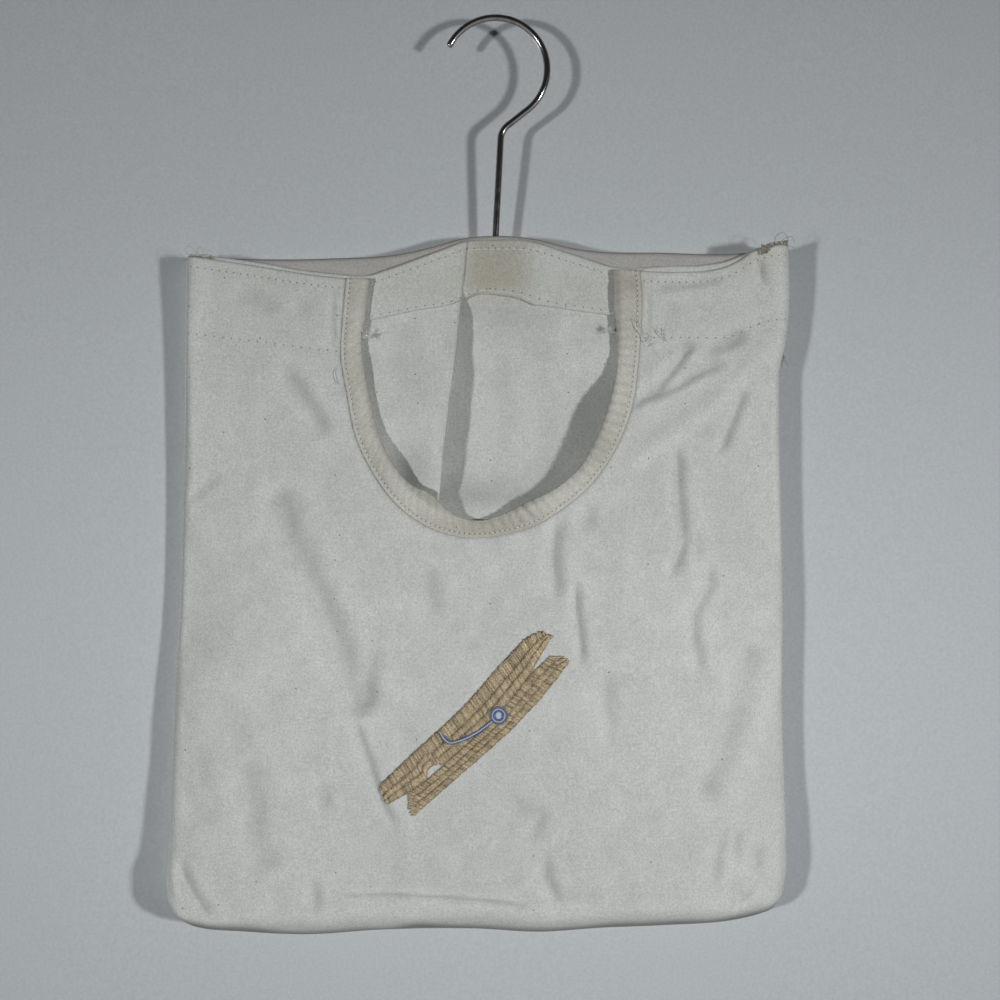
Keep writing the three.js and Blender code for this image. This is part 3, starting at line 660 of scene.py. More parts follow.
# %% Edges of the mouth
MOUTH_STATIONS = 240
BINDING_OUTER = trace([(-77.6, -138.2), (-79.6, -160), (-80.4, -179), (-77.5, -197), (-71.8, -223),
                       (-62.5, -241.5), (-49.3, -258), (-33, -268.8), (-14.5, -273.4), (7, -271.4),
                       (23, -266), (34, -259), (50.3, -245), (64.6, -223), (71.2, -204.6), (74.2, -183.7),
                       (75.6, -168), (76.2, -146), (75.4, -133.8)], MOUTH_STATIONS)
BINDING_INNER = trace([(-66, -138.6), (-68, -157), (-70.4, -173), (-69.2, -183), (-66, -200), (-60.4, -221),
                       (-52.8, -236.4), (-43, -247), (-35, -250.4), (-28.7, -255.8), (-22, -261.6),
                       (-7, -264.8), (3, -262), (14, -256.6), (33, -247.2), (44, -237.4), (53.8, -220),
                       (60.4, -201), (63.6, -184), (63.8, -168), (62, -152), (62, -133.8)], MOUTH_STATIONS)


def inside(x, z, outline):
    """Which points lie within a closed outline: an odd number of its sides cross the level to their right."""
    hit = np.zeros(np.shape(x), bool)
    for (ax, az), (bx, bz) in zip(outline, np.roll(outline, -1, 0)):
        spans = (az > z) != (bz > z)
        with np.errstate(divide="ignore", invalid="ignore"):
            hit ^= spans & (x < ax + (z - az) * (bx - ax) / (bz - az))
    return hit


raw_edge = 0.5 * BINDING_OUTER + 0.5 * BINDING_INNER
mouth_cut = np.vstack([[raw_edge[0, 0], 0], raw_edge, [raw_edge[-1, 0], 0]])
print("way round the binding:", round(way_along(BINDING_OUTER)[-1]))

# %% [markdown]
# ## Laying the front
# Rows climb from the bottom seam, close together in the bottom roll. At the top they turn over a small fold
# and come down again behind as the hem. The hem takes its place from the rows that it lies behind, pushed
# in along the cloth's own normal, and its fold stands a little higher than the front's. Quads inside the
# mouth are left out.

# %% Painted shade on a cloth
FOLD = 0.6
HEM_ROWS = 22
FRONT_LIFT, INNER_LIFT = 0.9, -1.1
# Painted shade: a plain level, more in hollows and on the side of a fold that faces left.
PLAIN_SHADE, HOLLOW_SHADE, LEAN_SHADE = 0.1, 0.14, 0.5
# Painted shade: a dark band along the bottom rim, where the cloth turns under, and two broad patches on the
# belly.
RIM_SHADE, RIM_HEIGHT = 1.1, 5.4
SHADED_PATCHES = [(-5, -345, 55, 70, 0.09), (10, -440, 110, 40, 0.08)]
# The two wide spots over the flaps make them darker and yellower than the body.
SOILED_FRONT = [(70, -142, 9, 9, 0.4), (-72, -150, 10, 20, 0.2), (-35, -297, 13, 6, 0.12),
                (-75, -245, 14, 14, 0.12), (128, -126, 24, 8, 0.35), (-120, -142, 60, 18, 0.12),
                (110, -152, 50, 22, 0.1)]


def blots(x, z, spots, power=2):
    """Sum of soft oval spots, each with its middle, its two radii and its strength."""
    return sum(s * np.exp(-np.abs((x - cx) / rx) ** power - np.abs((z - cz) / rz) ** power)
               for cx, cz, rx, rz, s in spots)


def off_line(x, z, line):
    """Distance from every point to the nearest point of a finely divided line."""
    nearest = np.full(np.shape(x), np.inf)
    for line_x, line_z in line:
        nearest = np.minimum(nearest, (x - line_x) ** 2 + (z - line_z) ** 2)
    return np.sqrt(nearest)


def normals(grid):
    """Unit normal of a grid of points: the way across crossed with the way up, so that it faces forward."""
    normal = np.cross(np.gradient(grid, axis=1), np.gradient(grid, axis=0))
    return normal / np.linalg.norm(normal, axis=-1, keepdims=True)


def blur(values, reach):
    """Mean over a square of cells, reach cells each way, with the border repeated outwards."""
    for axis in (0, 1):
        padded = np.pad(values, [(reach + 1, reach) if k == axis else (0, 0) for k in (0, 1)], "edge")
        total = np.cumsum(padded, axis)
        values = (np.take(total, range(2 * reach + 1, total.shape[axis]), axis)
                  - np.take(total, range(total.shape[axis] - 2 * reach - 1), axis)) / (2 * reach + 1)
    return values


def painted_shade_of(grid):
    """Painted shade: a plain level, more in the hollows of the cloth and on the side of a fold that faces
    left. A hollow is how much deeper a point lies than the mean of the cloth round it."""
    hollow = np.clip(grid[..., 1] - blur(blur(grid[..., 1], 4), 4), -1.6, 1.6)
    lean = np.gradient(hollow, axis=1) / np.maximum(np.gradient(grid[..., 0], axis=1), 0.3)
    return np.clip(PLAIN_SHADE + HOLLOW_SHADE * hollow - LEAN_SHADE * np.clip(lean, -0.5, 0.5), 0, 0.5)


def painted_shade_rows(grid, rows):
    """The painted shade of a grid, followed by rows at its plain level up to a number of rows."""
    return np.pad(painted_shade_of(grid), [(0, rows - len(grid)), (0, 0)], constant_values=PLAIN_SHADE)


def middles(grid):
    """Middle of every quad of a grid."""
    return 0.25 * (grid[:-1, :-1] + grid[1:, :-1] + grid[:-1, 1:] + grid[1:, 1:])


print("grey of a flat cloth:", painted_shade_of(np.zeros((9, 9, 3)))[4, 4])

# %% Hems
def rows_below(grid, distance):
    """Points of each column at distances below its top row, taken between the grid's own rows."""
    row = len(grid) - 1 - distance / (grid[-1, :, 2] - grid[-2, :, 2])
    low = np.clip(np.floor(row), 0, len(grid) - 2).astype(int)[..., None]
    part = row[..., None] - low
    return np.take_along_axis(grid, low, 0) * (1 - part) + np.take_along_axis(grid, low + 1, 0) * part


def turn_over(grid, depth, lift, ahead):
    """Adds a fold and a hem above the top row: a half circle, then the cloth again down to a depth in each
    column, on the side that ahead says (1 in front, -1 behind). lift is how much higher the hem's side
    of the fold is."""
    normal = ahead * normals(grid)
    up = grid[-1] - grid[-2]
    up /= np.linalg.norm(up, axis=-1, keepdims=True)
    angle = np.linspace(0, np.pi, 7)[1:-1, None, None]
    over = 1 - np.cos(angle)
    bend = grid[-1] + FOLD * (np.sin(angle) * up + over * normal[-1]) + 0.5 * lift * over * up
    share = np.linspace(0, 1, HEM_ROWS)[:, None]
    hem = rows_below(grid + 2 * FOLD * normal, depth * share) + lift * (1 - share)[..., None] * up
    return np.concatenate([grid, bend, hem])


print("rows in a hem:", HEM_ROWS)

# %% Front cloth
FRONT_ROWS, ROLL_ROWS = 196, 14
FRONT_COLUMNS, SIDE_COLUMNS = 186, 13
HEM_TUCK = 1.5
FRONT_TOP = -130
roll_rows = roll_steps(ROLL_ROWS) * BOTTOM_ROLL
climb = np.linspace(0, 1, FRONT_ROWS + 1)[1:]
nominal = BOTTOM + np.concatenate([roll_rows, BOTTOM_ROLL + climb * (FRONT_TOP - BOTTOM - BOTTOM_ROLL)])
rise = np.concatenate([0 * roll_rows, climb])[:, None]
start = np.concatenate([roll_rows, np.full(len(climb), BOTTOM_ROLL)])[:, None] + BOTTOM


def front_heights(x):
    """Height of every point of the front's rows, following the bottom seam below and the top edge above."""
    low = start + through(BOTTOM_LIFT, x)
    return low + (through(FRONT_EDGE, x) - FOLD - low) * rise


x = columns(nominal, nominal, FRONT_COLUMNS, SIDE_COLUMNS)
level = front_heights(x) - lifted(x, front_heights(x))
x = columns(level[:, 0], level[:, -1], FRONT_COLUMNS, SIDE_COLUMNS)
z = front_heights(x)
front_grid = over_front(x, z, 0)
front_points = turn_over(front_grid, through(FRONT_HEM, x[-1]) + HEM_TUCK, FRONT_LIFT, -1)

px, _, pz = np.moveaxis(front_points, -1, 0)
turned = np.arange(len(front_points))[:, None] >= len(front_grid) + 3
edge = through(FRONT_EDGE, px)
beside_binding = off_line(px, pz, trace(BINDING_OUTER[::6], 800))
above_seam = pz - BOTTOM - through(BOTTOM_LIFT, px) - 1.6 * rumple(px, 0 * px, 17, 13)
# Painted shade on the front: in its hollows, a thin painted shadow along the binding's outer edge, two broad
# patches on the belly and a band along the bottom rim.
front_attributes = {
    "lie": np.stack([px, np.where(turned, 2 * edge - pz, pz), 0 * px], -1),
    "row": np.stack([px, edge - pz, edge - pz - through(FRONT_HEM, px)], -1),
    "soil": blots(px, pz, SOILED_FRONT),
    "worn": painted_shade_rows(front_grid, len(px)) + 0.4 * np.exp(-((beside_binding / 0.9) ** 2))
    + blots(px, pz, SHADED_PATCHES)
    + RIM_SHADE * (1 - ease(above_seam, 0.4 * RIM_HEIGHT, 1.5 * RIM_HEIGHT)),
}
middle = middles(front_points)
kept = ~inside(middle[..., 0], middle[..., 2], mouth_cut)
front = cloth_mesh("front_cloth", front_points, front_attributes, kept)
dress(front, front_cotton, "cotton", "front_panel")

# %% [markdown]
# ## The binding
# The binding is a strip folded round the raw edge: a flat flange with the stitches, a puffed front leaf, a
# round inner edge and a back leaf. Its profile is carried along both edges of the mouth at once. Stitches
# pull it into small slanting puckers, on the lower left the inner edge curls forward, and towards its foot
# and on the right it is ribbed.

# %% Binding
PROFILE = [(0, 0.5), (0.05, 0.85), (0.12, 0.85), (0.18, 0.62), (0.26, 1.2), (0.42, 1.9), (0.62, 2.05),
           (0.82, 1.75), (0.95, 1.1)]
LEAF_END = 0.95
PUCKER = 5.4
CURL = [(0, 0.2), (0.25, 0.4), (0.34, 1.6), (0.42, 2.8), (0.47, 1.0), (0.55, 0.3), (0.7, 0.5), (0.8, 1.2),
        (0.9, 0.4), (1, 0.2)]
RIBS = [(0, 0.25), (0.3, 0.35), (0.42, 0.45), (0.52, 0.8), (0.62, 0.7), (0.76, 0.75), (0.85, 0.5),
        (0.92, 0.3), (1, 0.25)]


def binding_points():
    """Profile (share across, height above the cloth) along the mouth, with puckers that run at a slant and
    swell in the middle of the leaf, and a curl that grows towards the inner edge. The third result is how
    deep the puckers' valleys are, for painted shade."""
    leaf = np.linspace(0, LEAF_END, 17)
    bend = np.linspace(0, np.pi, 8)[1:-1]
    back = np.linspace(LEAF_END, 0.4, 6)
    share = np.concatenate([leaf, LEAF_END + 0.08 * np.sin(bend), back])
    above = np.concatenate([through(PROFILE, leaf), 0.05 + 1.05 * np.cos(bend), 0 * back - 1])
    along = np.linspace(0, 1, MOUTH_STATIONS)[:, None]
    across = (BINDING_INNER - BINDING_OUTER)[:, None]
    flat = BINDING_OUTER[:, None] + across * share[None, :, None]
    way = way_along(BINDING_OUTER)[:, None]
    width = np.linalg.norm(across, axis=-1)
    slant = way + 0.45 * width * share
    pull = 0.55 + 0.45 * rumple(way, 0 * way, 17, 19)
    phase = 2 * np.pi * slant / PUCKER + 1.5 * rumple(way, 0 * way, 9, 23)
    pucker = through(RIBS, along) * pull * np.sin(phase)
    wander = 0.4 * rumple(way, 14 * share, 8, 29)
    front_side = (above > 0) * ease(share, 0.15, 0.4)
    curl = through(CURL, along) * share**2.5
    height = above + (pucker + wander) * front_side + curl
    points = over_front(flat[..., 0], flat[..., 1], height)
    lay = np.stack([way + 0 * share, share * width, 0 * share * way], -1)
    return points, lay, np.clip(-pucker * front_side, 0, 1)


binding_grid, binding_lay, binding_valley_shade = binding_points()
# The wide spot at the foot of the mouth makes the binding darker there.
SOILED_BINDING = [(70, -140, 12, 9, 0.6), (72, -160, 10, 12, 0.3), (-72, -145, 10, 12, 0.3),
                  (58, -228, 14, 14, 0.35), (-62, -235, 16, 20, 0.3), (0, -268, 40, 9, 0.6),
                  (-72, -190, 10, 14, 0.25)]
# Painted shade on the binding: in the ditch of its stitch row, in the valleys of its puckers and towards its
# rolled inner edge.
ditch_shade = np.exp(-(((binding_lay[..., 1] - BINDING_ROW) / 0.6) ** 2))
binding_attributes = {
    "lie": binding_lay @ np.array([[0.71, -0.71, 0], [0.71, 0.71, 0], [0, 0, 1]]),
    "row": binding_lay,
    "soil": blots(binding_grid[..., 0], binding_grid[..., 2], SOILED_BINDING),
    "worn": PLAIN_SHADE + 0.2 * ditch_shade + 0.75 * binding_valley_shade + 0.4 * ease(binding_lay[..., 1], 9, 12.5),
}
binding = cloth_mesh("mouth_binding_strip", binding_grid, binding_attributes, thickness=0.5)
dress(binding, binding_cotton, "yellowed_cotton", "mouth_binding")

# %% [markdown]
# ## The inner back
# Seen in the mouth: its top is hemmed to the front, and a knife pleat runs down it, the left cloth lying
# over the right. Across the cloth the pleat is a soft Z, so the place across is a function of the cloth's
# own width that goes forward, back and forward again. Left of the pleat it lies close behind the lip, and
# right of it it falls back.

# %% Inner back
INNER_SEAM = -0.3
INNER_LOW, INNER_TOP = -478, -126
INNER_ROWS = 170
LEFT_COLUMNS, TUCK_COLUMNS, RIGHT_COLUMNS = 74, 16, 100
INNER_BASE = [(-480, -0.3), (-462, 2.4), (-400, 3.4), (-350, 0), (-310, -6), (-278, -12.6), (-266, -13.5),
              (-234, -11), (-203, -10), (-174, -9.2), (-150, -8.4), (-135, -7.8), (-117, -7.4)]
PLEAT_LINE = [(-480, -50), (-300, -32), (-262, -29.5), (-212, -24.5), (-190, -21.2), (-149, -17),
              (-118, -13.6)]
PLEAT_TUCK = [(-480, 1), (-330, 5), (-262, 8), (-117, 9)]
PLEAT_RISE = [(-480, 0.3), (-330, 2), (-275, 2.6), (-250, 3.6), (-170, 3.8), (-150, 3.8), (-117, 3.2)]
BESIDE_PLEAT = [(-480, -0.3), (-462, 2.4), (-400, 3.4), (-350, 1.5), (-310, -5), (-278, -13), (-266, -15),
                (-258, -11.5), (-250, -6), (-235, -1.4), (-176, -0.8), (-164, -1), (-155, -2), (-150, -4.4),
                (-146, -7), (-135, -7.2), (-117, -7)]
BESIDE_LEG = [(-480, -0.3), (-462, 2.4), (-400, 3.4), (-350, 0), (-310, -6), (-278, -12.6), (-264, -14),
              (-250, -7), (-234, -1.8), (-201, -1.2), (-193, -4.5), (-185, -8), (-175, -9.4), (-150, -8.4),
              (-135, -7.8), (-117, -7.4)]
BEND = 0.45
NO_ROW = 200.0
INNER_FOLDS = [
    ([(-52, -160), (-47, -200), (-44, -240)], 9, 9, 0.9),
    ([(20, -165), (27, -205), (22, -246)], 10, 10, 0.9),
    ([(2, -175), (4, -215), (-2, -250)], 5, 5, 0.5),
    ([(45, -165), (40, -200)], 6, 6, 0.6),
    ([(26, -133.4), (42, -136), (58, -138.8)], 1.5, 1.5, 1.6),
    ([(30, -131), (44, -133), (58, -135.6)], 1.4, 1.4, -0.9),
]
INNER_RUMPLE = [(38, 0.8, 31), (16, 0.4, 37), (8, 0.18, 41)]


def soft_ramp(value):
    """0 below 0 and the value above it, rounded over a bend."""
    return 0.5 * (value + np.sqrt(value**2 + BEND**2))


def inner_points():
    """Columns run over the left cloth to the pleat's edge, back under it by the tuck, and on to the right.
    The cloth keeps behind the front and its hems."""
    climb = np.linspace(0, 1, INNER_ROWS)
    height = (INNER_LOW + climb * (INNER_TOP - INNER_LOW))[:, None]
    edge, tuck = through(PLEAT_LINE, height), through(PLEAT_TUCK, height)
    left, right = through(LEFT_SIDE, height), through(RIGHT_SIDE, height)
    over = (left - edge) * (1 - np.linspace(0, 1, LEFT_COLUMNS)[None] ** 0.8)
    under = tuck * np.linspace(0, 1, TUCK_COLUMNS)[None, 1:]
    beyond = tuck + (right - edge + tuck) * np.linspace(0, 1, RIGHT_COLUMNS)[None, 1:] ** 1.15
    way = np.hstack([over, under, beyond])
    x = edge + way - 2 * soft_ramp(way) + 2 * soft_ramp(way - tuck)
    low_edge = INNER_LOW + lifted(x, height)
    z = low_edge + (through(INNER_EDGE, x) - FOLD - low_edge) * climb[:, None]
    share = np.clip(way / tuck, 0, 1)
    raised = -through(PLEAT_RISE, z) * np.exp(np.minimum(way, 0) / 22) * (1 - share)
    across = ease(x, -5, 45)
    deep = through(BESIDE_PLEAT, z) * (1 - across) + through(BESIDE_LEG, z) * across
    folds = sum(crease(x, z, *fold) for fold in INNER_FOLDS)
    slack = sum(size_height * rumple(way, z, size, seed) for size, size_height, seed in INNER_RUMPLE)
    calm = 1 - 0.7 * ease(z, -165, -150)
    left_dip = 4 * np.exp(-(((x + 50) / 12) ** 2) - ((z + 240) / 14) ** 2)
    level = (through(INNER_BASE, z) + left_dip) * (1 - share) + deep * share + raised + (folds - slack) * calm
    side = ease(np.minimum(x - left, right - x), 0, 18 + 24 * ease(-z, 160, 200))
    y = INNER_SEAM + (level - INNER_SEAM) * side * roll((z - INNER_LOW) / BOTTOM_ROLL)
    behind = 1.4 + 1.7 * ease(z, -190, -174)
    y = np.maximum(y, np.minimum(behind - front_depth(x, z), INNER_SEAM))
    return np.stack([x, y, z], -1), way, tuck[-1, 0]


print("folds drawn in the inner back:", len(INNER_FOLDS))

# %% Lay the inner back
inner_grid, inner_way, top_tuck = inner_points()
inner_all = turn_over(inner_grid, through(INNER_HEM, inner_grid[-1, :, 0]), INNER_LIFT, 1)
ix, _, iz = np.moveaxis(inner_all, -1, 0)
inner_edge = through(INNER_EDGE, ix)
in_hem = np.arange(len(inner_all))[:, None] >= len(inner_grid) + 2
below = np.where(in_hem, inner_edge - iz, NO_ROW)
SOILED_INNER = [(-40, -140, 30, 10, 0.15), (45, -145, 20, 10, 0.15)]
inner_attributes = {
    "lie": np.stack([ix, np.where(in_hem, 2 * inner_edge - iz, iz), 0 * ix], -1),
    "row": np.stack([ix, below, below - through(INNER_HEM, ix)], -1),
    "soil": blots(ix, iz, SOILED_INNER) + blots(ix, iz, [(1, -131, 18, 17, 0.9)], power=4),
    # Painted shade in the hollows of the inner back and on folds that face left.
    "worn": painted_shade_rows(inner_grid, len(ix)),
}
inner = cloth_mesh("inner_back_cloth", inner_all, inner_attributes)
dress(inner, inner_cotton, "cotton", "inner_back_panel")

# %% [markdown]
# ## The outer back and its casing
# The outer back climbs behind everything, goes over the bar and comes down in front of it as a casing, sewn
# below the bar. An eyelet in the fold lets the stem through. It lies nearly flat, with a few soft ridges
# and the rumpling of washing.

# %% Outer back
BACK = 6.2
BACK_SEAM = 0.9
CASING_END = -153
EYELET, EYELET_LOW = 4.6, -122
BACK_FOLDS = [
    ([(-66, -165), (-60, -230), (-64, -310), (-58, -410)], 16, 7, 1.4, 50),
    ([(62, -170), (70, -260), (68, -345), (74, -450)], 8, 18, 1.3, 60),
    ([(8, -240), (2, -330), (6, -460)], 18, 9, 1.2, 60),
    ([(-124, -220), (-114, -320), (-117, -440)], 9, 14, 1.2, 50),
    ([(130, -150), (112, -215), (104, -300)], 7, 14, 1.4, 50),
    ([(-148, -155), (-104, -200), (-44, -226)], 10, 6, 1.2, 50),
    ([(120, -330), (110, -390), (116, -440)], 10, 6, 1.0, 40),
]
BACK_RUMPLE = [(44, 0.9, 51), (20, 0.5, 53), (9, 0.22, 59), (5, 0.08, 61)]
BACK_ROWS, TURN_ROWS, CASING_ROWS = 165, 15, 18
BACK_COLUMNS, BACK_SIDE_COLUMNS = 150, 11
BACK_LOW, BACK_TOP = -479, -124
FOLD_HEIGHT, FOLD_POWER = 3.2, 0.7
BACK_ROLL, BACK_FOOT_ROLL = 14, 12
# Painted shade: the casing is darkened as a whole and a thin painted shadow runs along its top edge; the rest
# of the back gets a little soil.
CASING_SHADE, BACK_SOIL, CASING_TOP_SHADOW = 0.72, 0.06, 0.5


def back_points():
    """Rows climb the back, round the bar's top as a superellipse, and descend in front."""
    climb = np.linspace(0, 1, BACK_ROWS)
    turn = np.linspace(0, np.pi, TURN_ROWS + 2)[1:-1]
    down = np.linspace(0, 1, CASING_ROWS)
    fall = BACK_TOP + (CASING_END - BACK_TOP) * down
    nominal = np.concatenate([BACK_LOW + climb * (BACK_TOP - BACK_LOW), BACK_TOP + 0 * turn, fall])
    x = columns(nominal, nominal, BACK_COLUMNS, BACK_SIDE_COLUMNS)
    spring = through(CASING_EDGE, x) - FOLD_HEIGHT
    low = BACK_LOW + through(BOTTOM_LIFT, x)
    z_back = low + (spring - low) * np.concatenate([climb, 1 + 0 * turn, 1 + 0 * down])[:, None]
    arch = np.sin(turn) ** FOLD_POWER
    round_z = spring + FOLD_HEIGHT * np.concatenate([0 * climb, arch, 0 * down])[:, None]
    end = np.maximum(CASING_END, through(INNER_EDGE, x) - through(INNER_HEM, x) + 1)
    front_z = spring + (end - spring) * np.concatenate([0 * climb, 0 * turn, down])[:, None]
    part = np.repeat([0, 1, 2], [BACK_ROWS, TURN_ROWS, CASING_ROWS])[:, None]
    z = np.where(part == 0, z_back, np.where(part == 1, round_z, front_z))
    over = np.sign(np.cos(turn)) * np.abs(np.cos(turn)) ** FOLD_POWER
    ahead = np.concatenate([1 + 0 * climb, over, -1 + 0 * down])[:, None]
    edge = np.minimum(x - x[:, :1], x[:, -1:] - x)
    side = roll(edge / BACK_ROLL) * np.where(part == 0, roll((z - low) / BACK_FOOT_ROLL), 1)
    folds = sum(crease(x, z, *fold) for fold in BACK_FOLDS)
    slack = sum(size_height * rumple(x, z, size, seed) for size, size_height, seed in BACK_RUMPLE)
    relief = np.where(part == 0, (slack + folds) * ease(-z, 140, 200), 0.1 * slack)
    y = BACK_SEAM * (ahead > 0) + (BACK * ahead + relief - BACK_SEAM * (ahead > 0)) * side
    return np.stack([x, y, z], -1)


print("folds drawn in the outer back:", len(BACK_FOLDS))

# %% Lay the outer back
back_grid = back_points()[:, ::-1]
bx, by, bz = np.moveaxis(back_grid, -1, 0)
back_steps = np.diff(back_grid[:, :, 1:], axis=0, prepend=back_grid[:1, :, 1:])
back_way = np.cumsum(np.linalg.norm(back_steps, axis=-1), 0)
# Painted shade on the outer back: in its hollows, over the whole casing and as a thin painted shadow along
# the casing's top edge.
back_attributes = {
    "lie": np.stack([bx, back_way, 0 * bx], -1),
    "soil": np.where(by < 2, CASING_SHADE, BACK_SOIL),
    "worn": painted_shade_rows(-back_grid[:BACK_ROWS] * (1, 1, -1), len(bx))
    + CASING_TOP_SHADOW * np.exp(-(((through(CASING_EDGE, bx) - bz) / 1.1) ** 2)),
}
centre = middles(back_grid)
clear = (np.hypot(centre[..., 0], centre[..., 1]) > EYELET) | (centre[..., 2] < EYELET_LOW)
outer = cloth_mesh("outer_back_cloth", back_grid, back_attributes, clear)
dress(outer, back_cotton, "cotton", "outer_back_panel")

# %% [markdown]
# ## Rows of stitches
# A machine stitch shows as a short thread that dives into the cloth at each end. Every row is a path on the
# cloth, cut into stitches of one pitch, and each stitch is a strand of a few faces. On the flaps and the
# inner back the pitch is measured across the bag, as it is for the needle holes, so that each stitch ends
# in two of them.

# %% Stitch rows
STITCH = 0.24
STITCH_LEVEL, HEM_STITCH_LEVEL = 0.32, 0.34


def stitch_row(path, pitch, seed, length=0.78, proud=0.16, at=None):
    """Stitches along a path: each spans a share of the pitch and rises as a half sine between its two
    holes. at is what the pitch is measured in at each point of the path: its way along, if nothing else
    is said."""
    rng = np.random.default_rng(seed)
    at = way_along(path) if at is None else at
    begin = np.arange(np.ceil(at[0] / pitch), np.floor(at[-1] / pitch)) * pitch + 0.5 * (1 - length) * pitch
    reach = np.linspace(0, 1, 5)
    spots = begin[:, None] + length * pitch * reach
    points = np.stack([np.interp(spots, at, value) for value in path.T], -1)
    points[..., 1] -= proud * np.sin(np.pi * reach) - 0.3 * (1 - np.sin(np.pi * reach)) ** 3
    points += rng.normal(0, 0.05, (len(begin), 1, 3))
    shape, faces = strands(points, STITCH * (0.7 + 0.3 * np.sin(np.pi * reach)), 5)
    return shape, faces, rng.uniform(0.3, 1, (len(begin), 1, 1))


def on_front(x, below):
    """Path on the face of the front at a distance below its edge."""
    return over_front(x, through(FRONT_EDGE, x) - below, STITCH_LEVEL)


def flap_row(x, below, pitch, seed):
    """A row of stitches across a flap of the front."""
    return stitch_row(on_front(x, below), pitch, seed, at=x)


def stitched(name, node, *rows):
    """Rows of stitches as one piece of white thread."""
    piece = put_mesh(name, *join(*rows))
    return dress(piece, white_thread, "white_thread", node)


def loose(points, radius=0.22, tone=0.5, count=14):
    """A loose end of thread on the smooth curve through a few points."""
    shape, faces = strands(trace(points, count)[None], radius * np.linspace(1, 0.7, count), 5,
                           up=(0.1, -1, 0.05))
    return shape, faces, tone


left_flap = np.linspace(-160.95, -81.4, 120)
right_flap = np.linspace(77.7, 151.7, 120)
stitched("edge_stitches_left", "top_stitch_left", flap_row(left_flap, EDGE_ROW, EDGE_PITCH, 61))
stitched("edge_stitches_right", "top_stitch_right", flap_row(right_flap, EDGE_ROW, EDGE_PITCH, 62))

# %% [markdown]
# ## Hem rows, inner rows and the binding's row
# The hem rows end in thread tails beside the mouth, where the sewing was finished off by hand. The inner
# back's rows follow its pleat, and the binding's row keeps close to its outer edge.

# %% More rows
def tuft(middle, spread, count, seed, radius=0.14):
    """Frayed ends round a point: each strand bends from the middle to a random place nearby."""
    rng = np.random.default_rng(seed)
    ends = np.asarray(middle) + rng.normal(0, 1, (count, 3)) * spread
    knees = 0.5 * (ends + middle) + rng.normal(0, 0.6, (count, 3)) * spread
    t = np.linspace(0, 1, 6)[None, :, None]
    paths = (1 - t) ** 2 * np.asarray(middle) + 2 * t * (1 - t) * knees[:, None] + t**2 * ends[:, None]
    shape, faces = strands(paths, radius * np.linspace(1, 0.6, 6), 4, up=(0.13, -1, 0.21))
    return shape, faces, rng.uniform(0.1, 0.9, (count, 1, 1))


def lying(points):
    """A loose thread end on the front. Each point is x, height above the cloth and z."""
    x, above, z = np.array(points, float).T
    return loose(over_front(x, z, above))


left_hem = np.linspace(-160.8, -81, 120)
right_hem = np.linspace(78.4, 151.6, 120)
leg_left_y, leg_right_y = -front_depth(-67, -168) - 1.6, -front_depth(60, -165) - 1.6
stitched("hem_stitches_left", "hem_stitch_left",
         flap_row(left_hem, through(FRONT_HEM, left_hem), HEM_PITCH, 63),
         tuft((-66.8, leg_left_y, -168.2), (2.4, 0.8, 1.7), 52, 64),
         lying([(-82, 0.3, -184), (-83.6, 0.9, -187), (-82.6, 0.9, -192), (-81, 0.4, -194)]))
stitched("hem_stitches_right", "hem_stitch_right",
         flap_row(right_hem, through(FRONT_HEM, right_hem), HEM_PITCH, 65),
         tuft((59.4, leg_right_y, -164.8), (1.8, 0.8, 1.6), 40, 66),
         lying([(70.8, 2.6, -160), (73, 3.2, -163.6), (76, 1.6, -168.2)]),
         lying([(82, 0.4, -164), (86, 1.4, -168.4), (90.4, 0.5, -172.2)]),
         lying([(86.4, 0.4, -164), (87.6, 1.1, -167), (89, 0.5, -169.2)]),
         lying([(79.6, 0.4, -174), (82, 1.2, -172.6), (85, 0.5, -172)]),
         lying([(75.6, 1.4, -169), (78, 1.6, -171.6), (80.8, 1, -168.8), (78.6, 0.5, -166.8)]))

# %% Rows of the inner back, binding and casing
HEM_ENDS = (-150, 144)


def hem_rows(below, pitch, seed):
    """Two rows on the hem of the inner back, one on each side of the pleat, at a distance below the edge."""
    path = rows_below(inner_grid + 2 * FOLD * normals(inner_grid), below[None])[0] - (0, HEM_STITCH_LEVEL,
                                                                                      0)
    way = inner_way[-1]
    left = path[(way < -0.5) & (path[:, 0] > HEM_ENDS[0])]
    right = path[(way > 1.3 * top_tuck) & (path[:, 0] < HEM_ENDS[1])]
    return [stitch_row(half, pitch, seed + step, at=half[:, 0]) for half, step in ((left, 0), (right, 100))]


inner_x = inner_grid[-1, :, 0]
stitched("inner_edge_stitches", "inner_top_stitch", *hem_rows(EDGE_ROW + 0 * inner_x, EDGE_PITCH, 67))
inner_hem_rows = hem_rows(through(INNER_HEM, inner_x) - HEM_INSET, HEM_PITCH, 68)
stitched("inner_hem_stitches", "inner_hem_stitch", *inner_hem_rows)
row_share = BINDING_ROW / np.linalg.norm(BINDING_INNER - BINDING_OUTER, axis=1)[:, None]
bound = BINDING_OUTER + (BINDING_INNER - BINDING_OUTER) * row_share
bound_height = through(PROFILE, row_share[:, 0]) + 0.3
bound = over_front(bound[:, 0], bound[:, 1], bound_height)
binding_row = stitch_row(bound, BINDING_PITCH, 69, 0.72, at=way_along(BINDING_OUTER))
stitched("binding_stitches", "binding_stitch", binding_row)
casing_x = np.linspace(-146, 140, 160)
casing_y, casing_z = BACK + HEM_STITCH_LEVEL, CASING_END + 2
casing_row = np.stack([casing_x, 0 * casing_x + casing_y, 0 * casing_x + casing_z], -1)
stitched("casing_stitches", "casing_stitch", stitch_row(casing_row, HEM_PITCH, 70, proud=-0.16))

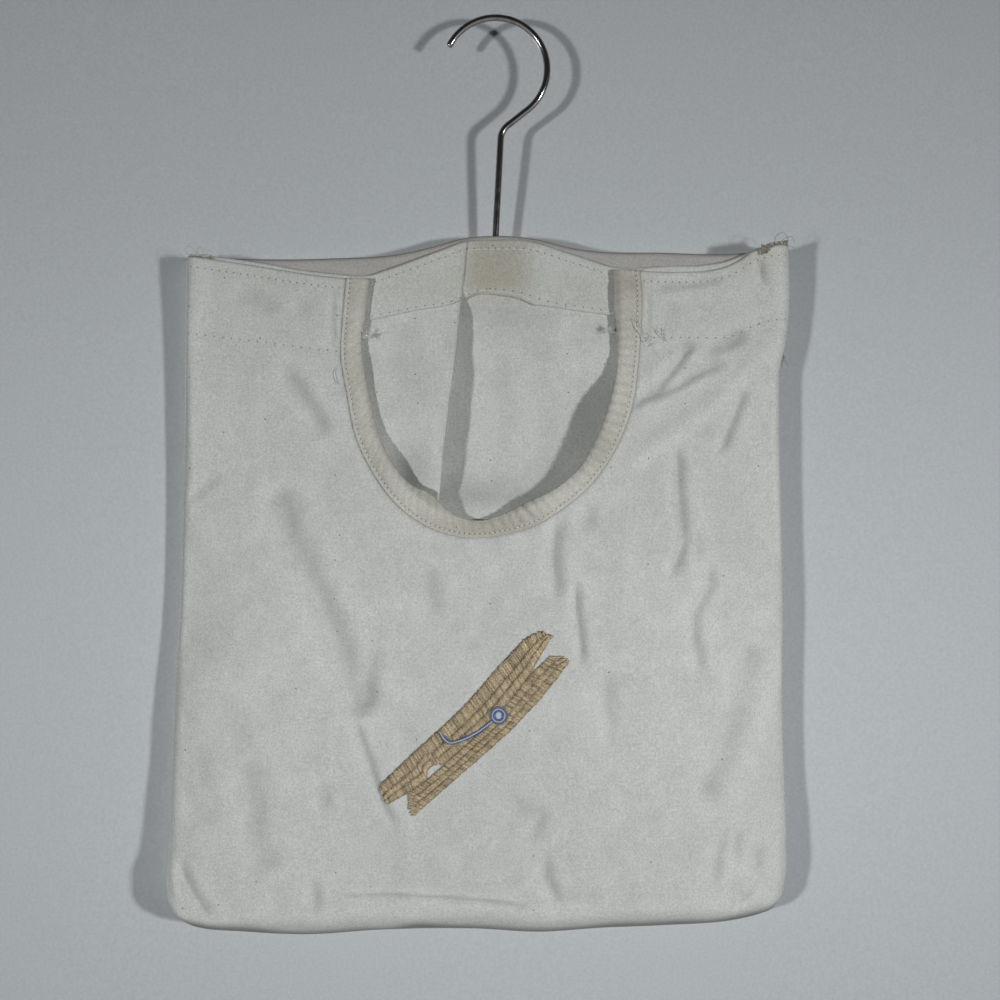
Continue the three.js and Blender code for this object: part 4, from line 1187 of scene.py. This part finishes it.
# %% [markdown]
# ## Overlocked seams and corner tacks
# The three cloths meet in an overlocked edge down each side and along the bottom. Its threads whip round
# the edge at a slant. At the top corners a bundle of stitches holds the layers, and washing has frayed it
# into loops.

# %% Seams
OVERLOCK = 2.7
WHIP, WHIP_OUT, WHIP_DEEP = 0.26, 1.1, 2.1
SEAM_MIDDLE = -0.2
SEAM_POINTS = 200


def overlock(edge_path, inward, seed):
    """Whip stitches round an edge: each leaves the front, passes outside the edge and ends on the back."""
    rng = np.random.default_rng(seed)
    total = way_along(edge_path)[-1]
    begin = np.arange(0.6 * OVERLOCK, total - OVERLOCK, OVERLOCK)
    angle = np.linspace(-0.55, 1.15, 8) * np.pi - 0.3 * np.pi
    at = begin[:, None] + OVERLOCK * np.linspace(0, 0.9, 8)
    points = walk(edge_path, at)
    points = points - np.asarray(inward) * (np.cos(angle) * WHIP_OUT - 0.2)[None, :, None]
    points[..., 1] += WHIP_DEEP * np.sin(angle)
    points += rng.normal(0, 0.05, (len(begin), 1, 3))
    shape, faces = strands(points, WHIP, 4, up=(0.3, 0.1, 0.2))
    return shape, faces, rng.uniform(0.2, 1, (len(begin), 1, 1))


def side_path(knots, low, high):
    """The seam's path down one side, between two heights."""
    z = np.linspace(high, low, SEAM_POINTS)
    x = through(knots, z)
    return np.stack([x, 0 * x + SEAM_MIDDLE, z + lifted(x, z)], -1)


left_edge, right_edge = side_path(LEFT_SIDE, -474, -129), side_path(RIGHT_SIDE, -472, -126)
stitched("side_overlock_left", "side_seam_left", overlock(left_edge, (1, 0, 0), 71))
stitched("side_overlock_right", "side_seam_right", overlock(right_edge, (-1, 0, 0), 72))
bottom_x = np.linspace(-143, 118, SEAM_POINTS)
bottom_path = np.stack([bottom_x, 0 * bottom_x + SEAM_MIDDLE, BOTTOM + through(BOTTOM_LIFT, bottom_x)], -1)
stitched("bottom_overlock", "bottom_seam", overlock(bottom_path, (0, 0, 1), 73))

# %% Corner tacks
def bundle(start, end, spread, count, seed, radius=0.15):
    """Threads that lie side by side between two points, each bowed and shifted at random."""
    rng = np.random.default_rng(seed)
    start, end = np.asarray(start, float), np.asarray(end, float)
    t = np.linspace(0, 1, 9)[None, :, None]
    shift = rng.normal(0, 1, (count, 2, 3)) * spread
    bow = rng.normal(0, 1, (count, 1, 3)) * np.asarray(spread) * 0.9
    paths = (start + shift[:, :1]) * (1 - t) + (end + shift[:, 1:]) * t + bow * np.sin(np.pi * t)
    shape, faces = strands(paths, radius, 4, up=(0.2, -1, 0.3))
    return shape, faces, rng.uniform(0, 1, (count, 1, 1))


def bar_tack(start, end, height, pitch, seed):
    """A close zigzag from one point to another: upright threads side by side, bowed over the layers."""
    rng = np.random.default_rng(seed)
    start, end = np.asarray(start, float), np.asarray(end, float)
    count = int(np.linalg.norm(end - start) / pitch)
    share = np.linspace(0, 1, count)[:, None]
    t = np.linspace(-0.5, 0.5, 7)
    tall = height * (1 + rng.normal(0, 0.12, (count, 1)))
    lean = 0.5 + rng.normal(0, 0.35, (count, 1))
    paths = (start + (end - start) * share)[:, None] + np.stack(
        [lean * t, -0.7 * np.cos(np.pi * t) + rng.normal(0, 0.12, (count, 1)), tall * t], -1)
    shape, faces = strands(paths, 0.24, 5)
    return shape, faces, np.clip(rng.normal(0.4, 0.3, (count, 1, 1)), 0, 1)


left_parts = [
    bundle((-162, -4, -126), (-149, -9, -127.2), (1.2, 1.2, 0.8), 16, 81),
    loose([(-160, -5, -126), (-163, -7, -123), (-160.4, -8, -120.6), (-157, -7, -124)], 0.14),
    loose([(-157, -7, -125), (-155, -9, -121.6), (-152.4, -9, -123.4), (-154, -8, -126)], 0.14),
    loose([(-162, -4, -127), (-165, -5, -125.6), (-166, -5, -122.6)], 0.12),
    loose([(-152, -8, -125.6), (-149.6, -9.4, -123), (-147, -9, -125.2)], 0.12),
]
right_parts = [
    bar_tack((138.6, -12.2, -123.4), (153.2, -7, -119.8), 4.6, 0.42, 82),
    bundle((139, -12.4, -122.8), (153.6, -6, -119.6), (0.8, 0.8, 0.9), 16, 83),
    loose([(146, -8, -120), (147.6, -8, -115), (151, -8, -113.6), (153.6, -7, -117.4), (153, -6, -121)],
          0.16, 0.2),
    loose([(149, -7, -120), (152, -7, -116.4), (156, -6, -115.6), (157.4, -5, -118.6)], 0.16, 0.3),
    loose([(152, -5, -121), (156, -5, -120.4), (158, -5, -123)], 0.13, 0.4),
    tuft((151.6, -4, -178), (1.6, 1.4, 3.6), 9, 84),
]
CORNERS = [
    ("corner_stitches_left", "corner_tack_left", left_parts, frayed_thread),
    ("corner_stitches_right", "corner_tack_right", right_parts, grey_thread),
]
for name, node, parts, material in CORNERS:
    corner = put_mesh(name, *join(*parts))
    dress(corner, material, "white_thread", node)

# %% [markdown]
# ## The embroidered peg
# A clothes peg of the usual spring kind is worked in satin stitch, tilted over the belly of the bag: two
# legs side by side, each of three columns, with splayed handles, notched ends and an eye behind the jaws.
# Each column is a ladder of strands that bow over the cloth, and every strand has its own tone. A leg is
# given by its inner and outer edge, as distances across the peg at places along it.

# %% Embroidered peg
PEG_MIDDLE = (-10.4, -367.6)
PEG_TILT = np.radians(44)
STRAND_PITCH, STRAND = 0.72, 0.38
MOTIF_LEVEL = 0.3
SPLIT = [(-49, -1.9), (-36, -3.9), (-10, -5.1), (11, -5.5), (25, -3.9), (38, -2)]
UPPER_IN = [(-61, 1.4), *SPLIT, (58.5, 4.2)]
UPPER_OUT = [(-61, 8.6), (-57, 11), (-38, 11), (-16, 10.3), (2, 10), (26, 12.2), (46, 13.2), (53, 11.8),
             (57, 9.2), (58.5, 6)]
LOWER_IN = [(-55.5, -9.2), *SPLIT, (51.5, -2.2), (56.5, -7.4)]
LOWER_OUT = [(-55.5, -12.4), (-36, -13.2), (8, -15.8), (30, -14.8), (45, -13.2), (56.5, -11)]
EYE_MIDDLE, EYE_LENGTH, EYE_WIDTH = -31.6, 4.8, 3.4


def on_motif(along, across, height):
    """A point of the motif from its place along and across the peg, above the front's face."""
    x = PEG_MIDDLE[0] + along * np.cos(PEG_TILT) - across * np.sin(PEG_TILT)
    z = PEG_MIDDLE[1] + along * np.sin(PEG_TILT) + across * np.cos(PEG_TILT)
    return over_front(x, z, MOTIF_LEVEL + height)


def edge_line(knots, along):
    """Straight lines between (along, across) knots."""
    return np.interp(along, *np.array(knots, float).T)


def satin(inner_knots, outer_knots, first, last, low_share, high_share, seed):
    """A column of strands between two shares of one leg's width, slanting and bowed like a low arch. The
    eye is cut from the upper leg's inner edge as half an oval."""
    rng = np.random.default_rng(seed)
    at = np.arange(first, last, STRAND_PITCH)
    at = at + rng.normal(0, 0.08, len(at))
    near, far = edge_line(inner_knots, at), edge_line(outer_knots, at)
    eye = EYE_WIDTH * np.sqrt(np.clip(1 - ((at - EYE_MIDDLE) / EYE_LENGTH) ** 2, 0, 1))
    near = np.where(near < far, near + eye, near)
    low = near + (far - near) * low_share + rng.normal(0, 0.14, len(at))
    high = near + (far - near) * high_share + rng.normal(0, 0.16, len(at))
    t = np.linspace(0, 1, 6)
    across = low[:, None] + (high - low)[:, None] * t
    along = at[:, None] + 1.3 * (t - 0.5)
    height = (0.04 + 0.8 * np.sin(np.pi * t) ** 0.9) * (1 + rng.normal(0, 0.2, len(at)))[:, None]
    shape, faces = strands(on_motif(along, across, height), STRAND, 4)
    # Painted highlight: each strand is lighter over its crown and darker where it dives into the cloth.
    painted_highlight = (0.4 * np.sin(np.pi * t) - 0.22)[None, :, None]
    return shape, faces, np.clip(rng.normal(0.5, 0.34, (len(at), 1, 1)) + painted_highlight, 0, 1)


UPPER_COLUMNS = [(-60.6, 58.2, 0, 0.3, 91), (-60.4, 58.4, 0.29, 0.56, 92), (-59, 57.2, 0.55, 1, 93)]
LOWER_COLUMNS = [(-54.4, 55.4, 0, 0.36, 94), (-54.8, 56.2, 0.35, 0.66, 95), (-55.2, 55.8, 0.65, 1, 96)]
legs = [satin(UPPER_IN, UPPER_OUT, *column) for column in UPPER_COLUMNS]
legs += [satin(LOWER_IN, LOWER_OUT, *column) for column in LOWER_COLUMNS]
peg = put_mesh("satin_peg", *join(*legs))
dress(peg, beige_thread, "beige_thread", "embroidered_peg")

# %% [markdown]
# ## The embroidered spring
# The spring is a small coil of two blue rings with pale thread between and inside them, and an arm that
# runs down over one leg and hooks up at its end. Rings and arm are stem stitch, each stitch overlapping the
# last, and a pale thread lies along the arm.

# %% Embroidered spring
COIL_MIDDLE = np.array([1.7, -364.0])
COIL_RINGS = (4.2, 2.3)
COIL_PALE = 3.25
COIL_IN = 1.7
SPRING_HEIGHT = 1.35
ARM = [(-1.6, -367.0), (-9.9, -372.9), (-19, -376.9), (-23.6, -377.6), (-26.7, -375), (-28.2, -372.4)]


def above_peg(flat, height):
    """Points over the embroidery from their places on the picture's plane."""
    return over_front(flat[..., 0], flat[..., 1], MOTIF_LEVEL + height)


def ring(radius):
    """Points of a circle round the middle of the coil, a little more than once round."""
    return arc(COIL_MIDDLE, radius, 0.3, 0.5 + 2 * np.pi, 24)


def stem_stitch(points, spacing, length, width, seed):
    """Stitches that cross a path from its one side to the other, each starting half way along the last."""
    rng = np.random.default_rng(seed)
    path = trace(points, 120)
    begin = np.arange(0, way_along(path)[-1] - 0.6 * length, spacing)
    t = np.linspace(0, 1, 6)
    flat = walk(path, begin[:, None] + length * t)
    along = np.gradient(flat, axis=1)
    along /= np.linalg.norm(along, axis=-1, keepdims=True)
    beside = np.stack([-along[..., 1], along[..., 0]], -1)
    flat = flat + beside * (width * (t - 0.5))[None, :, None]
    height = SPRING_HEIGHT - 0.3 + 0.45 * np.sin(np.pi * t) + 0 * begin[:, None]
    shape, faces = strands(above_peg(flat, height), 0.3, 4)
    return shape, faces, np.clip(rng.normal(0.5, 0.25, (len(begin), 1, 1)), 0, 1)


def filling(rows, seed):
    """Level strands that fill the ring's middle."""
    rng = np.random.default_rng(seed)
    t = np.linspace(-1, 1, 6)
    level = np.linspace(-0.9, 0.9, rows)[:, None] * COIL_IN
    half = np.sqrt(COIL_IN**2 - level**2)
    flat = COIL_MIDDLE + np.stack([half * t, level + 0 * t], -1)
    shape, faces = strands(above_peg(flat, SPRING_HEIGHT - 0.45 + 0.25 * (1 - t**2) + 0 * half), 0.24, 4)
    return shape, faces, rng.uniform(0.2, 1, (rows, 1, 1))


coils = [stem_stitch(ring(radius), 0.9, 2.4, 0.7, 95) for radius in COIL_RINGS]
spring = put_mesh("satin_spring", *join(*coils, stem_stitch(ARM, 1.0, 3.4, 1.9, 96)))
dress(spring, blue_thread, "blue_thread", "embroidered_spring")
cores = [above_peg(trace(path, 60), SPRING_HEIGHT + 0.2) for path in (ARM, ring(COIL_PALE))]
core, core_faces = strands(np.stack(cores), 0.3, 5)
spring_middle = put_mesh("satin_spring_middle", *join(filling(10, 97), (core, core_faces, 0.5)))
spring_middle.data.materials.append(pale_thread)
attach(spring_middle, "bag")

# %% [markdown]
# ## The hook
# A wire is bent into a stem that leans a little, a bend, a straight tail and a round crook. It is one ring
# carried along lines and arcs. Its lower end is upset into a head that keeps it in the bar, and its tip is
# rounded.

# %% Hook
WIRE = 3.5
CROOK_RADIUS = 27.4
CROOK_MIDDLE = np.array([0, -25.65])
TIP_ANGLE, TAIL_ANGLE = np.radians(154), np.radians(-52)
BEND_RADIUS = 10
STEM_LEAN = np.radians(3)
STEM_FOOT, STEM_PEAK = -143.9, -115
HEAD_RADIUS, HEAD_HEIGHT = 3.5, 2
TIP_ROUND = 0.4


def hook_path():
    """Points of the wire's centreline: upright, leaning, round the bend, along the tail and round the
    crook."""
    up = np.array([np.sin(STEM_LEAN), np.cos(STEM_LEAN)])
    tail = np.array([-np.sin(TAIL_ANGLE), np.cos(TAIL_ANGLE)])
    joint = CROOK_MIDDLE + CROOK_RADIUS * np.array([np.cos(TAIL_ANGLE), np.sin(TAIL_ANGLE)])
    slope = np.tan(STEM_LEAN)
    back = (joint[0] - slope * (joint[1] - STEM_PEAK)) / (tail[0] - slope * tail[1])
    corner = joint - tail * back
    stem_end = corner - up * BEND_RADIUS * np.tan(-(STEM_LEAN + TAIL_ANGLE) / 2)
    bend = stem_end + BEND_RADIUS * np.array([up[1], -up[0]])
    upright = np.linspace((0, STEM_FOOT), (0, STEM_PEAK), 30)
    lean = np.linspace((0, STEM_PEAK), stem_end, 40)[1:-1]
    turn = arc(bend, BEND_RADIUS, np.pi - STEM_LEAN, TAIL_ANGLE + np.pi, 12)
    crook = arc(CROOK_MIDDLE, CROOK_RADIUS, TAIL_ANGLE, TIP_ANGLE, 120)
    flat = np.concatenate([upright, lean, turn, crook])
    return np.stack([flat[:, 0], 0 * flat[:, 0], flat[:, 1]], -1)


wire_path = hook_path()
from_foot = way_along(wire_path)
to_tip = from_foot[-1] - from_foot
wire_radius = WIRE / 2 * np.sqrt(1 - np.clip(1 - to_tip / TIP_ROUND, 0, 0.7) ** 2)
wire_radius = np.where(from_foot < HEAD_HEIGHT, HEAD_RADIUS, wire_radius)
hook_shape, hook_faces = strands(wire_path[None], wire_radius[None], 20, up=(0, 1, 0))
hook = put_mesh("wire_hook", hook_shape, hook_faces, {})
dress(hook, worn_chrome, "chromed_wire", "hanger_hook", body="hook")
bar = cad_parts["hanger_bar"]
bar.data.materials.clear()
bar.data.materials.append(plain_beech)

# %% [markdown]
# ## The cloths
# A cloth keeps the size it was cut to.

print("cloths: 4")

# %% [markdown]
# ## Stage and light
# The bag hangs in front of a pale backdrop, lit by a lamp on the right and one on the left, both near its
# own height, which give it two soft shadows. The backdrop falls back a little behind the hook, shows to the
# camera and in the metal, and lets light through, so that the back of the bag is lit as well. The floor
# glows evenly, so that it is pale from every side. The room is dim as a light and pale to the camera, and
# only a small part of that shows in the metal, because wire in a dim room looks dark.

# %% Stage and light
BACKDROP_NEAR, BACKDROP_FAR, BACKDROP_TURN = 9.2, 18, 0.0075
BACKDROP_SLOPE = (-180, -10)
BACKDROP_TALL, BACKDROP_WIDE = 1500, 2000
FLOOR = -560
FLOOR_REACH, FLOOR_GLOW = 4000, 0.75
ROOM_LIGHT, ROOM_SEEN, ROOM_IN_METAL = 0.025, 0.45, 0.05
BACKDROP_TINT = (186, 191, 194)


def stage_paint(name, glow):
    """Pale paint that only the camera and mirror-like rays meet, and only on its front. glow is how pale it
    shows where no lamp reaches it."""
    material, paint, shader = start_material(name)
    place = paint.node("ShaderNodeTexCoord", out="Object")
    grain = paint.noise(place, 700.0, 2.0)
    colour = (grain * 1.8 - 0.4).blend(tint(*BACKDROP_TINT, 0.92), tint(*BACKDROP_TINT, 1.08))
    paint.plug(shader["Base Color"], colour)
    paint.plug(shader["Emission Color"], colour)
    shader["Emission Strength"].default_value = glow
    paint.plug(shader["Roughness"], 0.75 + grain * 0.2)
    seen = paint.node("ShaderNodeLightPath", out="Is Camera Ray")
    seen = paint.maths("MAXIMUM", seen, paint.node("ShaderNodeLightPath", out="Is Glossy Ray"))
    back = paint.node("ShaderNodeNewGeometry", out="Backfacing")
    clear = paint.node("ShaderNodeBsdfTransparent")
    tree = material.node_tree
    output = next(node for node in tree.nodes if node.type == "OUTPUT_MATERIAL")
    solid = Paint(tree, output.inputs["Surface"].links[0].from_socket)
    mixed = paint.node("ShaderNodeMixShader", {}, {0: seen * (1 - back), 1: clear, 2: solid})
    paint.plug(output.inputs["Surface"], mixed)
    return material


def stage_sheet(name, points, material):
    """A strip of the stage from rows of two points each, the left one first."""
    index = np.arange(2 * len(points)).reshape(-1, 2)
    faces = np.stack([index[:-1, 0], index[:-1, 1], index[1:, 1], index[1:, 0]], -1)
    strip = put_mesh(name, np.asarray(points, float), [faces], {})
    strip.data.materials.append(material)


heights = np.concatenate([[-BACKDROP_TALL], np.linspace(*BACKDROP_SLOPE, 14), [BACKDROP_TALL]])[:, None]
sides = np.array([[-BACKDROP_WIDE, BACKDROP_WIDE]])
away = BACKDROP_NEAR + (BACKDROP_FAR - BACKDROP_NEAR) * ease(heights, *BACKDROP_SLOPE)
away = away + BACKDROP_TURN * sides
wall = np.stack(np.broadcast_arrays(sides, away, heights), -1)
stage_sheet("backdrop", wall, stage_paint("pale_backdrop", 0))
floor = FLOOR_REACH * np.array([[(-1, -1, 0), (1, -1, 0)], [(-1, 1, 0), (1, 1, 0)]]) + (0, 0, FLOOR)
stage_sheet("floor", floor, stage_paint("pale_floor", FLOOR_GLOW))
print("height of the bottom above the floor:", BOTTOM - FLOOR)

# %% Lamps and room
def lamp(name, place, aim, power, size, spread=180):
    """A square soft lamp at a place, in millimetres, that faces a point. A smaller spread dims it away from
    its aim."""
    light = bpy.data.lights.new(name, "AREA")
    light.energy = power
    light.size = size * MM
    light.spread = np.radians(spread)
    holder = bpy.data.objects.new(name, light)
    holder.location = np.multiply(place, MM)
    way = np.array(aim, float) - place
    way /= np.linalg.norm(way)
    holder.rotation_euler = (np.arccos(-way[2]), 0, np.arctan2(-way[0], way[1]))
    scene.collection.objects.link(holder)


lamp("key", (1700, -1700, -355), (80, 0, -370), 1.7, 180, 40)
lamp("fill", (-1950, -2170, -437), (-60, 0, -370), 1.95, 200, 40)
lamp("rear", (-900, 1300, -100), (0, 0, -280), 16, 400)
world = bpy.data.worlds.new("studio")
world.use_nodes = True
room = Paint(world.node_tree)
world.node_tree.nodes.clear()
dim = room.node("ShaderNodeBackground", {}, {"Color": (0.98, 0.98, 0.96, 1.0), "Strength": ROOM_LIGHT})
pale = room.node("ShaderNodeBackground", {}, {"Color": (0.95, 0.98, 1.0, 1.0), "Strength": ROOM_SEEN})
seen = room.node("ShaderNodeLightPath", out="Is Camera Ray")
seen = seen + room.node("ShaderNodeLightPath", out="Is Glossy Ray") * ROOM_IN_METAL
mixed = room.node("ShaderNodeMixShader", {}, {0: seen, 1: dim, 2: pale})
room.plug(world.node_tree.nodes.new("ShaderNodeOutputWorld").inputs["Surface"], mixed)
scene.world = world
scene.view_settings.view_transform = "Standard"
print("lamps:", [item.name for item in bpy.data.lights])

# %% [markdown]
